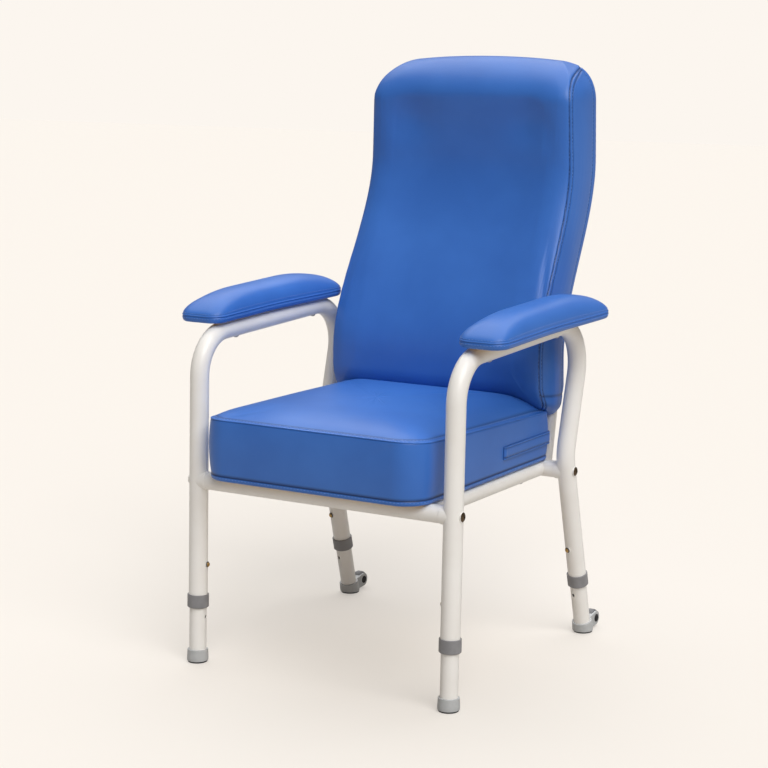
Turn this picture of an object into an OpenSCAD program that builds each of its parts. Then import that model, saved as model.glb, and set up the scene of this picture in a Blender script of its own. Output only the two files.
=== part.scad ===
// High back day chair: a bent tube frame on four height-adjustable legs, the rear
// pair with small tipping wheels, carrying a seat, a tall back and two arm pads.
// The chair faces -Y and stands on the plane z = 0.

/* [Frame] */
// Distance between the centre planes of the two side frames
frame_w = 536; // [510:2:570]
// Outer diameter of the frame tube
tube_d = 35; // [33:0.5:37]
// Wall thickness of the frame tube
tube_wall = 1.5; // [1.2:0.1:2]
// Outer diameter of the cross tubes and side rails
rail_d = 32; // [28:0.5:34]
// Height of the rails' centre lines above the floor
rail_h = 344; // [325:1:380]
// Fall of the rails towards the back
rail_drop = 6; // [0:1:12]
// Distance between the front and rear legs at rail height
rail_run = 439; // [425:1:460]
// Height of the arm tube's centre line above the rails, at the front leg
arm_over_rail = 266; // [245:1:290]
// Centre line radius of the bends at both ends of the arm
arm_bend_r = 80; // [70:1:90]
// Height of the rear leg's bend above the rails
kink_over_rail = 24; // [22:1:34]
// Centre line radius of the rear leg's bend
kink_r = 90; // [70:1:95]
// Lean of the front legs, feet forward, in degrees
front_lean = 2.2; // [0:0.1:4]
// Rake of the rear legs, feet backward, in degrees
rear_rake = 14.1; // [11:0.1:16]
// Rake of the rear uprights, in degrees
upright_rake = 15.7; // [13:0.1:18]
// Rise of the arm tube towards the back, in degrees
arm_rise = 1.3; // [0:0.1:2.5]
// Distance of each side rail's centre line inboard of the side frame's
rail_inset = 57; // [56:1:73]

/* [Frame joints] */
// Thickness of the saddle spacers between the cross tubes and the legs, at their thinnest
saddle_t = 4; // [2:0.5:6]
// Amount by which the saddle spacers stand proud of the cross tubes
saddle_rim = 1.2; // [0.8:0.1:1.4]
// Thread diameter of the frame bolts
bolt_d = 8; // [6:0.5:8]
// Diameter of the frame bolts' domed heads
bolt_head_d = 17; // [14:0.5:18]
// Height of the domed heads
bolt_head_h = 3.2; // [2.5:0.1:4]
// Length of the threaded plugs welded into the cross tubes
insert_len = 30; // [20:1:40]
// Diameter of the curved washers under the bolt heads
washer_d = 18; // [17:0.5:20]
// Thickness of the curved washers at the crest of the tube
washer_t = 1.2; // [0.8:0.1:2]

/* [Legs] */
// Distance along the leg from the floor to the collar
collar_s = 104; // [100:1:125]
// Height of the collars
collar_h = 25; // [20:1:30]
// Outer diameter of the collars
collar_d = 40; // [39:0.5:44]
// Thickness of the collar's lip under the frame tube
collar_lip = 3; // [2:0.5:5]
// Wall thickness of the leg extensions
leg_wall = 1.5; // [1.2:0.1:2]
// Distance of the locking pin above the collar's lower edge
lock_over_collar = 82; // [70:1:90]
// Pitch of the height settings
hole_pitch = 20; // [16:1:20]
// Diameter of the setting holes
hole_d = 7; // [6.6:0.1:8]
// Length of the extension above its top hole
leg_over_holes = 14; // [10:1:18]

/* [Feet] */
// Outer diameter of the feet
foot_d = 40; // [38:0.5:42]
// Height of the feet, along the leg
foot_h = 24; // [22:1:28]
// Thickness of the rubber soles
sole_t = 3; // [2:0.2:4]
// Inset of the soles from the side of the feet
sole_inset = 2; // [1:0.2:3]
// Radius of the rear wheels
wheel_r = 16.5; // [15:0.5:18]
// Width of the rear wheels
wheel_w = 14; // [10:0.5:16]
// Clearance under the wheels when the chair stands
wheel_lift = 2; // [1:0.5:4]
// Distance from the rear leg's floor point back to the wheel's axle
wheel_back = 37; // [36:0.5:42]
// Thickness of each fork cheek
cheek_t = 3.5; // [2.5:0.5:5]
// Diameter of the axle pins
axle_d = 5; // [4:0.5:6]
// Diameter of the black axle caps
cap_d = 15; // [12:0.5:18]

/* [Height locks] */
// Outer diameter of the lock bush
bush_d = 10.5; // [10:0.1:11]
// Distance that the bush stands out from the tube
bush_out = 2.8; // [2.6:0.1:3.5]
// Diameter of the locking pin
pin_d = 6; // [5.6:0.1:6.2]
// Diameter of the pin's domed button
button_d = 8.8; // [8:0.1:9.5]
// Height of the domed button
button_h = 2.6; // [2:0.1:3.5]
// Depth to which the pin enters the leg extension
pin_bite = 1.3; // [1:0.1:1.4]

/* [Seat] */
// Distance of the cushion's side seams inboard of the side frames' centre planes
seat_side_gap = 42; // [33:1:48]
// Distance from the front leg's centre line forward to the cushion's front
seat_front = 54; // [40:1:60]
// Distance from the front leg's centre line back to the cushion's rear edge
seat_rear = 447; // [440:1:449]
// Height of the cushion's front top seam above its underside
seat_seam_front = 112; // [100:1:120]
// Height of the cushion's rear top seam above its underside
seat_seam_rear = 92; // [84:1:96]
// Height of the crown above the front seam
seat_crown = 19; // [12:1:20]
// Radius of the front corners, seen from above
seat_corner_r = 52; // [40:1:60]
// Thickness of the plywood seat board
board_t = 12; // [9:1:15]

/* [Back] */
// Distance of the back's side seams inboard of the side frames' centre planes, at its lower end
back_side_gap = 38; // [36:1:38]
// Width that the back loses between its lower end and its top
back_taper = 34; // [20:2:40]
// Height of the back's rear lower edge above the rails' centre lines
back_over_rail = 94; // [94:1:100]
// Height of the back, from its rear lower edge to its top seam
back_h = 650; // [632:2:664]
// Distance from the front leg's centre line back to the lower front seam
back_front = 401; // [400:1:406]
// Distance by which the back sweeps rearwards between seat and head
back_sweep = 137; // [125:1:140]
// Height above its lower edge at which the back starts to sweep, as a share of its height
sweep_from_share = 0.157; // [0.14:0.005:0.175]
// Height over which the back sweeps, as a share of its height
sweep_len_share = 0.569; // [0.55:0.005:0.6]
// Distance by which the front falls back over the top
top_fall = 13; // [8:1:16]
// Height over which the front falls back at the top
top_fall_len = 75; // [60:1:90]
// Thickness of the back at its lower end
back_t_low = 103; // [101:1:106]
// Thickness of the back at its head
back_t_high = 122; // [114:1:126]
// Radius of the top corners
back_corner_r = 62; // [50:1:75]
// Outer diameter of the back frame's tube
post_d = 22; // [19:0.5:22]
// Distance of the back posts inboard of the side frames' centre planes, at the rear cross tube
post_inset = 49.5; // [49.5:0.5:54]
// Distance of the back posts' centre lines behind the rear cross tube's, at their feet
post_back = 11; // [9:0.5:12]
// Thickness of the plywood back board
back_board_t = 9; // [6:0.5:10]

/* [Arm pads] */
// Width of the arm pads
pad_w = 94; // [88:1:98]
// Length of the arm pads
pad_len = 446; // [430:2:452]
// Height of the arm pads, crown included
pad_h = 47; // [40:1:50]
// Distance from the front leg's centre line back to the pads' front ends
pad_from = 38; // [34:1:44]
// Distance of the pads' middle outboard of the arm tubes
pad_out = 25; // [20:1:27]
// Thickness of the plywood pad boards
pad_board_t = 9; // [6:0.5:12]

/* [Hidden] */

// Overrun of every cut beyond the face that it opens
over = 1;
// Seating gap of loose and soft pieces
seat_gap = 0.2;
// Radial play of pins and screws in their holes
play = 0.1;
// Chamfer on moulded edges
edge = 0.8;
// Facets of the large round parts, of bent bars and of small parts
$fn = 64;
bar_fn = 48;
fine_fn = 36;

// Colours
white_coat = "#F4EEE6";
blue_vinyl = "#3F6DB5";
dark_vinyl = "#2C5599";
plywood = "#C9A673";
dark_grey = "#7C7D7F";
light_grey = "#B4B7B9";
black_rubber = "#1D1D1F";
brass = "#B08A4E";
bronze = "#6E5B49";
steel = "#9A9C9E";

half_w = frame_w / 2;
back_bottom = rail_h + back_over_rail;
back_top = back_bottom + back_h;
side_rail_x = half_w - rail_inset;
post_x = half_w - post_inset;
tube_r = tube_d / 2;
bore_r = tube_r - tube_wall;
rail_r = rail_d / 2;
leg_r = bore_r - play;
rail_bore_r = rail_r - tube_wall;

// Points of the side frame in its own plane, as [distance back, height]
rear_leg_y = rail_run;
kink = [rail_run - kink_over_rail * tan(rear_rake), rail_h + kink_over_rail];
arm_h = rail_h + arm_over_rail;
front_corner = meet([0, rail_h], [sin(front_lean), cos(front_lean)],
                    [0, arm_h], [cos(arm_rise), sin(arm_rise)]);
rear_corner = meet([0, arm_h], [cos(arm_rise), sin(arm_rise)],
                   kink, [sin(upright_rake), cos(upright_rake)]);
front_floor = -rail_h * tan(front_lean);
rear_floor = rail_run + rail_h * tan(rear_rake);
tube_end_s = collar_s + collar_lip;
lock_s = collar_s + lock_over_collar;
front_end = [front_floor, 0] + tube_end_s * [sin(front_lean), cos(front_lean)];
rear_end = [rear_floor, 0] + tube_end_s * [-sin(rear_rake), cos(rear_rake)];

// Holes above and below the one in use
settings_up = 3;
settings_down = 5;
leg_top_s = lock_s + settings_up * hole_pitch + leg_over_holes;
foot_floor = 1.2;
leg_bottom_s = (sole_t + foot_floor + leg_r * sin(rear_rake)) / cos(rear_rake);

// Inner end of the cross tubes, and the axis of each frame bolt as [distance back, height]
cross_half = half_w - tube_r - saddle_t;
rear_rail_h = rail_h - rail_drop;
bolt_axes = [[0, rail_h], [rear_floor - rear_rail_h * tan(rear_rake), rear_rail_h]];
seat_run = norm(bolt_axes[1] - bolt_axes[0]);
seat_tilt = asin(rail_drop / seat_run);
insert_bore_d = bolt_d + play;
bolt_reach = tube_d + washer_t + saddle_t + insert_len * 2 / 3;

// Front and rear ends of the whole chair, which set where its middle lies
front_bulge = 3;
rear_bulge = 5.4;
front_most = seat_front + front_bulge;
rear_most = back_front + back_sweep + back_t_high + rear_bulge;
mid_shift = (front_most - rear_most) / 2;

// Axle of the rear wheels, as [distance back, height]
axle = [rear_floor + wheel_back, wheel_r + wheel_lift];
axle_gap = 0.5;
fork_w = wheel_w + 2 * axle_gap + 2 * cheek_t;
cheek_r = wheel_r - 1.5 * wheel_lift;
cap_t = 1.6;

// Turn of each lock about its leg, from the +X direction, in degrees: the front pair
// faces inwards and slightly back, and both rear legs are the same part
lock_turns = [[10, 170], [-110, -110]];

// Sizes of the lock along its own axis, measured from the leg's centre line
lock_in = bore_r - pin_bite - play;
lock_tail_out = 1.1;
lock_tail = bore_r + lock_tail_out;
spring_wire_share = 0.07;
spring_wire = pin_d * spring_wire_share;
stem_d = pin_d * 0.56;
lock_lip_t = 0.8;
lock_top = tube_r + bush_out;
bush_neck_r = bush_d / 2 - edge;
ring_d = 13;
ring_t = 0.7;
lock_seat = lock_top - lock_lip_t;

function meet(p, d, q, e) = let (k = cross2(q - p, e) / cross2(d, e)) p + k * d;
function cross2(a, b) = a[0] * b[1] - a[1] * b[0];
function unit(v) = v / norm(v);
function left_of(v) = [-v[1], v[0]];
function smooth(u) = let (c = max(0, min(1, u))) c * c * (3 - 2 * c);
function mix(a, b, u) = a + (b - a) * u;
function middle(ring) = let (n = len(ring)) [for (k = [0 : 2]) sum([for (p = ring) p[k]]) / n];
function sum(list, i = 0) = i == len(list) ? 0 : list[i] + sum(list, i + 1);

// Swings flat work into the plane of a side frame: its X becomes the distance back, its Y the height
module upright_plane(x = 0) { translate([x, 0, 0]) rotate([90, 0, 90]) children(); }

// Round bar along a flat path with a bend of the given radius at each inner point; a
// bend is a hair thicker than the straights, which run a little way into it
bend_swell = 0.05;
bend_lap = 0.8;
module bent_bar(path, radii, r, extra = 0) {
    last = len(path) - 1;
    function turn(i) = let (a = unit(path[i] - path[i - 1]), b = unit(path[i + 1] - path[i]))
        atan2(cross2(a, b), a * b);
    function trim(i) = i == 0 || i == last ? -extra
        : radii[i - 1] * tan(abs(turn(i)) / 2) - bend_lap;
    for (i = [0 : last - 1]) {
        way = unit(path[i + 1] - path[i]);
        from = path[i] + way * trim(i);
        reach = norm(path[i + 1] - path[i]) - trim(i) - trim(i + 1);
        translate([from[0], from[1], 0]) rotate([0, 90, atan2(way[1], way[0])])
            cylinder(h = reach, r = r, $fn = bar_fn);
    }
    for (i = [1 : last - 1]) {
        way = unit(path[i] - path[i - 1]);
        side = turn(i) > 0 ? 1 : -1;
        start = path[i] - way * (trim(i) + bend_lap);
        hub = start + side * left_of(way) * radii[i - 1];
        arm = start - hub;
        translate([hub[0], hub[1], 0]) rotate([0, 0, atan2(arm[1], arm[0])])
            rotate_extrude(angle = turn(i), $fn = bar_fn)
                translate([radii[i - 1], 0]) circle(r = r + bend_swell, $fn = bar_fn);
    }
}

// Frame of one leg: origin at its floor point, +Z up the leg; side is -1 left or 1 right
module on_leg(side, rear) {
    translate([side * half_w, rear ? rear_floor : front_floor, 0])
        rotate([rear ? rear_rake : -front_lean, 0, 0]) children();
}

// Frame of one lock: origin on the leg's centre line, +Z outwards along the pin
module on_lock(side, rear) {
    turn = lock_turns[rear ? 1 : 0][side > 0 ? 1 : 0];
    on_leg(side, rear) translate([0, 0, lock_s]) rotate([0, 0, turn]) rotate([0, 90, 0]) children();
}

// Frame of one arm: origin on the arm tube's crest above the front leg, +Y along the arm
module on_arm(side) {
    translate([side * half_w, 0, arm_h]) rotate([arm_rise, 0, 0]) translate([0, 0, tube_r]) children();
}

// Frame of the seat: origin on the front cross tube's axis, +Y along the rails, +Z off them
module on_seat() { translate([0, 0, rail_h]) rotate([-seat_tilt, 0, 0]) children(); }

module in_place() { translate([0, mid_shift, 0]) children(); }

// Closed solid through a stack of rings, each end closed to its own middle
module skin(rings) {
    n = len(rings[0]);
    m = len(rings);
    points = concat([for (r = rings) each r], [middle(rings[0]), middle(rings[m - 1])]);
    walls = [for (k = [0 : m - 2], i = [0 : n - 1])
        let (j = (i + 1) % n, a = k * n + i, b = k * n + j)
        each [[a, a + n, b + n], [a, b + n, b]]];
    ends = [for (i = [0 : n - 1])
        let (j = (i + 1) % n) each [[m * n, i, j], [m * n + 1, (m - 1) * n + j, (m - 1) * n + i]]];
    polyhedron(points = points, faces = concat(walls, ends), convexity = 6);
}

// Outline of a rectangle from lo to hi with rounded corners, counter-clockwise from its lower
// right corner; radii are [lower, upper], nx and ny the steps along its sides, nc along a corner
function rounded(lo, hi, radii, nx, ny, nc) = let (
    limit = min(hi[0] - lo[0], hi[1] - lo[1]) / 2,
    r0 = min(radii[0], limit * 0.98), r1 = min(radii[1], limit * 0.98),
    spots = [[hi[0] - r0, lo[1] + r0, -90, r0], [hi[0] - r1, hi[1] - r1, 0, r1],
             [lo[0] + r1, hi[1] - r1, 90, r1], [lo[0] + r0, lo[1] + r0, 180, r0]],
    at = function (c, k) let (s = spots[c], a = s[2] + 90 * k / nc)
        [s[0] + s[3] * cos(a), s[1] + s[3] * sin(a)])
    [for (c = [0 : 3]) each concat(
        [for (k = [0 : nc]) at(c, k)],
        let (n = c % 2 == 0 ? ny : nx, a = at(c, nc), b = at((c + 1) % 4, 0))
            [for (k = [1 : n - 1]) mix(a, b, k / n)])];

// Gap between the frame tube and the pieces coped to it
tube_fit = 0.03;

// Side frame tube in its own plane, solid to the given radius
module side_run(r, extra = 0) {
    bent_bar([front_end, front_corner, rear_corner, kink, rear_end],
             [arm_bend_r, arm_bend_r, kink_r], r, extra);
}

// Screws of the arm pads, on the straight of the arm tube
arm_screw_d = 6;
arm_screw_shares = [0.244, 0.7675];
arm_screw_ys = [for (g = arm_screw_shares) g * rear_corner[0]];

module side_frame(side) {
    color(white_coat) in_place() difference() {
        upright_plane(side * half_w) side_run(tube_r);
        upright_plane(side * half_w) side_run(bore_r, over);
        for (p = bolt_axes)
            translate([side * half_w - tube_d, p[0], p[1]]) rotate([0, 90, 0])
                cylinder(h = 2 * tube_d, r = bolt_d / 2 + play, $fn = fine_fn);
        for (rear = [false, true])
            on_lock(side, rear) cylinder(h = tube_d, r = bush_neck_r + play / 2, $fn = fine_fn);
        for (y = arm_screw_ys)
            on_arm(side) translate([0, y, -tube_d - over])
                cylinder(h = tube_d + 2 * over, r = arm_screw_d / 2 + play, $fn = fine_fn);
    }
}

seat_screw_d = 5;
seat_screw_inset = 80;
seat_screw_ys = [seat_screw_inset, seat_run - seat_screw_inset];

// Cross tube between the two side frames, front or rear
module cross_tube(p) {
    color(white_coat) in_place() translate([-cross_half, p[0], p[1]]) rotate([0, 90, 0])
        difference() {
            cylinder(h = 2 * cross_half, r = rail_r);
            translate([0, 0, -over]) cylinder(h = 2 * cross_half + 2 * over, r = rail_bore_r);
        }
}

// Side rail, its ends coped to the cross tubes
module side_rail(side) {
    color(white_coat) in_place() on_seat() difference() {
        translate([side * side_rail_x, 0, 0]) rotate([-90, 0, 0]) difference() {
            cylinder(h = seat_run, r = rail_r);
            translate([0, 0, -over]) cylinder(h = seat_run + 2 * over, r = rail_bore_r);
        }
        for (y = [0, seat_run])
            translate([-half_w, y, 0]) rotate([0, 90, 0]) cylinder(h = frame_w, r = rail_r);
        for (y = seat_screw_ys)
            translate([side * side_rail_x, y, -rail_d])
                cylinder(h = 2 * rail_d, r = seat_screw_d / 2 + play, $fn = fine_fn);
    }
}

// Spacers between the cross tubes' square ends and the round legs, which they clasp
saddle_open_share = 0.3;
module saddle_spacers() {
    reach = half_w - cross_half - saddle_open_share * tube_r;
    rim_r = rail_r + saddle_rim;
    color(white_coat) in_place() for (side = [-1, 1], k = [0, 1])
        difference() {
            translate([side * cross_half, bolt_axes[k][0], bolt_axes[k][1]])
                rotate([0, side * 90, 0]) difference() {
                    union() {
                        cylinder(h = edge, r1 = rim_r - edge, r2 = rim_r);
                        translate([0, 0, edge]) cylinder(h = reach - edge, r = rim_r);
                    }
                    translate([0, 0, -over])
                        cylinder(h = half_w, r = bolt_d / 2 + play, $fn = fine_fn);
                }
            upright_plane(side * half_w) side_run(tube_r + tube_fit);
        }
}

// Plugs welded into the cross tubes' ends, threaded for the frame bolts
module threaded_plugs() {
    color(steel) in_place() for (side = [-1, 1], p = bolt_axes)
        translate([side * (cross_half - insert_len / 2), p[0], p[1]]) rotate([0, 90, 0])
            difference() {
                cylinder(h = insert_len, r = rail_bore_r, center = true);
                cylinder(h = insert_len + 2 * over, d = insert_bore_d, center = true, $fn = fine_fn);
            }
}

// Bolt along +Z with its domed, socketed head starting at z = 0
module domed_bolt(d, reach, head_d, head_h, socket_d) {
    dome_r = (pow(head_d / 2, 2) + pow(head_h, 2)) / (2 * head_h);
    difference() {
        union() {
            translate([0, 0, -reach]) cylinder(h = reach, d = d, $fn = fine_fn);
            intersection() {
                translate([0, 0, head_h - dome_r]) sphere(r = dome_r);
                cylinder(h = head_h + over, d = head_d);
            }
        }
        translate([0, 0, head_h / 3]) cylinder(h = head_h, d = socket_d, $fn = 6);
    }
}

module frame_bolts() {
    color(bronze) in_place() for (side = [-1, 1], p = bolt_axes)
        translate([side * (half_w + tube_r + washer_t), p[0], p[1]]) rotate([0, side * 90, 0])
            domed_bolt(bolt_d, bolt_reach, bolt_head_d, bolt_head_h, bolt_d * 0.7);
}

// Washers curved to the leg on one side and flat under the bolt head on the other
module bolt_washers() {
    color(white_coat) in_place() for (side = [-1, 1], k = [0, 1])
        difference() {
            translate([side * (half_w + tube_r / 2), bolt_axes[k][0], bolt_axes[k][1]]) rotate([0, side * 90, 0])
                difference() {
                    cylinder(h = tube_r / 2 + washer_t, d = washer_d);
                    translate([0, 0, -over])
                        cylinder(h = tube_r, r = bolt_d / 2 + play, $fn = fine_fn);
                }
            upright_plane(side * half_w) side_run(tube_r + tube_fit);
        }
}

// Front and rear faces of the back at a height, as distances back
sweep_from = back_bottom + back_h * sweep_from_share;
sweep_len = back_h * sweep_len_share;
back_low_half = half_w - back_side_gap;
function back_up(z) = (z - back_bottom) / back_h;
function back_fall(z) = top_fall * smooth((z - back_top) / top_fall_len + 1);
function back_face(z) = back_front + back_sweep * smooth((z - sweep_from) / sweep_len) + back_fall(z);
function back_depth(z) = mix(back_t_low, back_t_high, back_up(z)) - back_fall(z);
function back_half(z) = back_low_half - back_taper / 2 * back_up(z);

// Path of the back frame, as [distance back, height], with the board in front of it
post_lean = 2;
post_wall = 1.5;
post_r = post_d / 2;
frame_share = 0.63;
hip_share = 0.0185;
low_share = 0.054;
high_share = 0.82;
head_share = 0.892;
hip_bend_r = 100;
post_bend_r = 120;
function post_point(z) = [back_face(z) + back_depth(z) * frame_share, z];
post_foot = bolt_axes[1] + [post_back, 0];
post_hip = post_foot + (back_bottom + back_h * hip_share - rear_rail_h) * [tan(upright_rake), 1];
post_low = post_point(sweep_from + back_h * low_share);
post_high = post_point(sweep_from + sweep_len * high_share);
post_head = post_point(back_bottom + back_h * head_share);
post_path = [post_foot, post_hip, post_low, post_high, post_head];
post_radii = [hip_bend_r, post_bend_r, post_bend_r];
bar_shares = [0.3, 0.97];

// Leans flat work of the back frame inwards from the rear cross tube, on one side
module post_plane(side) {
    translate([side * post_x, 0, rear_rail_h]) rotate([0, -side * post_lean, 0])
        translate([0, 0, -rear_rail_h]) rotate([90, 0, 90]) children();
}
function post_half(z) = post_x - (z - rear_rail_h) * tan(post_lean);
function bar_point(share) = share > 0.9 ? mix(post_high, post_head, 0.86) : mix(post_low, post_high, share);

// Tubular cross bar of the back frame, between the posts' centre lines
module back_bar(p, r) {
    translate([-post_half(p[1]), p[0], p[1]]) rotate([0, 90, 0])
        cylinder(h = 2 * post_half(p[1]), r = r);
}

// How far the cross bars' coped ends run into the posts' walls, as welds do
weld = 0.5;

back_screw_d = 4;
back_head_h = 1.6;
back_screw_share = 0.62;

module back_frame() {
    color(white_coat) in_place() difference() {
        union() {
            difference() {
                for (side = [-1, 1]) post_plane(side) bent_bar(post_path, post_radii, post_r);
                for (side = [-1, 1])
                    post_plane(side) bent_bar(post_path, post_radii, post_r - post_wall, over);
            }
            difference() {
                for (b = bar_shares) difference() {
                    back_bar(bar_point(b), post_r - weld);
                    back_bar(bar_point(b), post_r - post_wall);
                }
                for (side = [-1, 1]) post_plane(side) bent_bar(post_path, post_radii, post_r - weld);
            }
        }
        translate([-half_w, bolt_axes[1][0], bolt_axes[1][1]]) rotate([0, 90, 0]) cylinder(h = frame_w, r = rail_r);
        for (b = bar_shares, side = [-1, 1]) back_screw(b, side, back_screw_d / 2 + play, 0);
    }
}

// Direction normal to the back frame at a bar, pointing forward
function bar_normal(share) = let (way = share > 0.9 ? post_head - post_high : post_high - post_low)
    unit([-way[1], way[0]]);
board_gap = seat_gap;

// Screw hole or screw through a bar into the board: radius r, head radius where given
module back_screw(share, side, r, head_r) {
    p = bar_point(share);
    n = bar_normal(share);
    translate([side * post_half(p[1]) * back_screw_share, p[0], p[1]])
        rotate([90 - atan2(n[1], -n[0]), 0, 0]) {
            translate([0, 0, -post_r - back_head_h])
                cylinder(h = 2 * post_r + back_head_h + board_gap + back_board_t * 0.7, r = r, $fn = fine_fn);
            if (head_r > 0)
                translate([0, 0, -post_r - back_head_h]) cylinder(h = back_head_h, r = head_r, $fn = fine_fn);
        }
}

module back_board_screws() {
    color(steel) in_place() for (b = bar_shares, side = [-1, 1])
        back_screw(b, side, back_screw_d / 2, back_screw_d);
}

// Points along the back frame's bent line, from its hip or from above it
board_steps = 5;
function board_line(from) = concat(from > 0 ? [] : [post_hip],
    [for (k = [0 : board_steps]) bezier(mix(post_hip, post_low, 0.7), post_low,
        mix(post_low, post_high, 0.2), k / board_steps)],
    [for (k = [0 : board_steps]) bezier(mix(post_low, post_high, 0.82), post_high,
        mix(post_high, post_head, 0.3), k / board_steps)],
    from > 0 ? [mix(post_high, post_head, 0.96)] : []);
function bezier(a, b, c, u) = mix(mix(a, b, u), mix(b, c, u), u);

// Curved plywood in front of the back frame, as wide as fits between the posts' centres
module back_board() {
    line = board_line(1);
    last = len(line) - 1;
    lows = [for (k = [0 : last]) board_edge(line, k, post_r + board_gap)];
    highs = [for (k = [0 : last]) board_edge(line, k, post_r + board_gap + back_board_t)];
    half = post_half(post_head[1]);
    color(plywood) in_place() difference() {
        upright_plane(-half) linear_extrude(height = 2 * half)
            polygon(concat(lows, [for (k = [last : -1 : 0]) highs[k]]));
        for (b = bar_shares, side = [-1, 1]) back_screw(b, side, back_screw_d / 2 + play, 0);
    }
}
function board_edge(line, k, off) = let (
    a = line[max(0, k - 1)], b = line[min(len(line) - 1, k + 1)], way = unit(b - a))
    line[k] + off * [-way[1], way[0]];

// Rings of the back pad from rear to front: share of the depth, inset from the side seams as
// a share of the half width, then as shares of the thickness: lift of the lower edge,
// stand-out beyond the rear or front seam, and drop of the upper edge
back_ring_shares = [
    [0, 0.652, 0, -0.057, 0], [0, 0.304, 0, -0.057, 0], [0, 0.13, 0, -0.033, 0],
    [0.03, 0.039, 0, 0, 0.06], [0.1, 0.0087, 0, 0, 0.074], [0.25, -0.013, 0.033, 0, 0.049],
    [0.6, -0.0174, 0.115, 0, 0.033], [0.85, -0.0087, 0.246, 0, 0.066], [1, 0, 0.311, 0, 0.139],
    [1, 0.026, 0.344, 0.049, 0.164], [1, 0.078, 0.361, 0.09, 0.18], [1, 0.165, 0.328, 0.107, 0.164],
    [1, 0.304, 0.246, 0.074, 0.115], [1, 0.522, 0.098, 0.033, 0.06], [1, 0.804, 0, 0.016, 0]];
back_arch = 12;
back_low_r = 24;
side_steps = 14;
top_steps = 8;
corner_steps = 4;

module back_solid() {
    rings = [for (g = back_ring_shares) let (
        inset = g[1] * back_low_half,
        low = back_bottom + g[2] * back_t_high + inset,
        high = back_top - g[4] * back_t_high - inset,
        half = back_low_half - inset,
        flat = rounded([-half, low], [half, high], [back_low_r, max(edge, back_corner_r - inset)],
                       top_steps, side_steps, corner_steps))
        [for (p = flat) let (
            z = p[1] + back_arch * smooth(back_up(p[1])) * (1 - pow(p[0] / half, 2)),
            x = p[0] * (back_half(z) - inset) / half,
            y = back_face(z) + (1 - g[0]) * back_depth(z) - g[3] * back_t_high)
            [x, y, z]]];
    skin(rings);
}

// Room in the back pad for the frame and board, open below so that the pad slips over them
hollow_play = 2;
module back_hollow() {
    path = concat([post_foot], board_line(0), [post_head + hollow_play * unit(post_head - post_high)]);
    last = len(path) - 1;
    front = [for (k = [0 : last]) board_edge(path, k, post_r + board_gap + back_board_t + hollow_play)];
    rear = [for (k = [0 : last]) board_edge(path, k, -post_r - back_head_h - hollow_play)];
    low = [post_half(post_foot[1]), post_half(post_head[1])] + [1, 1] * (post_r + hollow_play);
    intersection() {
        upright_plane(-half_w) linear_extrude(height = frame_w)
            polygon(concat(rear, [for (k = [last : -1 : 0]) front[k]]));
        translate([0, frame_w * 2, 0]) rotate([90, 0, 0]) linear_extrude(height = frame_w * 2)
            polygon([[-low[0], post_foot[1]], [low[0], post_foot[1]],
                     [low[1], back_top], [-low[1], back_top]]);
    }
}

module back_pad() {
    color(blue_vinyl) in_place() difference() {
        back_solid();
        back_hollow();
    }
}

seat_base = rail_r + seat_gap;
seat_half = half_w - seat_side_gap;
seat_rear_r = 16;
board_inset = 8;

// Plywood under the cushion, on the rails
module seat_board() {
    half = seat_half - board_inset;
    r = seat_corner_r - board_inset;
    color(plywood) in_place() on_seat() difference() {
        translate([0, 0, seat_base]) linear_extrude(height = board_t)
            polygon(rounded([-half, board_inset - seat_front], [half, seat_rear - board_inset],
                            [r, seat_rear_r], 1, 1, 12));
        for (side = [-1, 1], y = seat_screw_ys)
            translate([side * side_rail_x, y, seat_base - over])
                cylinder(h = board_t * 0.8 + over, r = seat_screw_d / 2 + play, $fn = fine_fn);
    }
}

// Screws up through the side rails into the seat board
module seat_screws() {
    head_h = 2.4;
    reach = rail_d + seat_gap + board_t * 0.7;
    color(steel) in_place() on_seat() for (side = [-1, 1], y = seat_screw_ys)
        translate([side * side_rail_x, y, -rail_r]) mirror([0, 0, 1])
            domed_bolt(seat_screw_d, reach, seat_screw_d * 2, head_h, seat_screw_d * 0.55);
}

// Bulge of the cushion's sides, as a share of its half width
seat_bulge_share = 0.0177;
// Rings of the seat cushion from below: inset as a share of the half width, height as a
// share of the seam's height, and height above the seam as a share of the crown's
seat_ring_shares = [
    [0.265, 0, 0], [0.0177, 0, 0], [0.0044, 0.03, 0], [-0.0088, 0.15, 0], [-seat_bulge_share, 0.45, 0],
    [-0.0133, 0.8, 0], [0, 1, 0], [0.0177, 1, 0.45], [0.053, 1, 0.75], [0.115, 1, 0.93],
    [0.221, 1, 1.02], [0.442, 1, 1.12], [0.752, 1, 1.18]];
seat_fall = 40;
seat_fall_from = 365;
seat_fall_len = 90;

// Height of the cushion's top seam and of its crown at a distance back, above the underside
function seat_seam(y) = mix(seat_seam_front, seat_seam_rear,
    pow(max(0, min(1, (y + seat_front) / (seat_front + seat_rear))), 0.7));
function seat_top(y) = seat_seam_front + seat_crown - seat_fall * smooth((y - seat_fall_from) / seat_fall_len);

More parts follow.
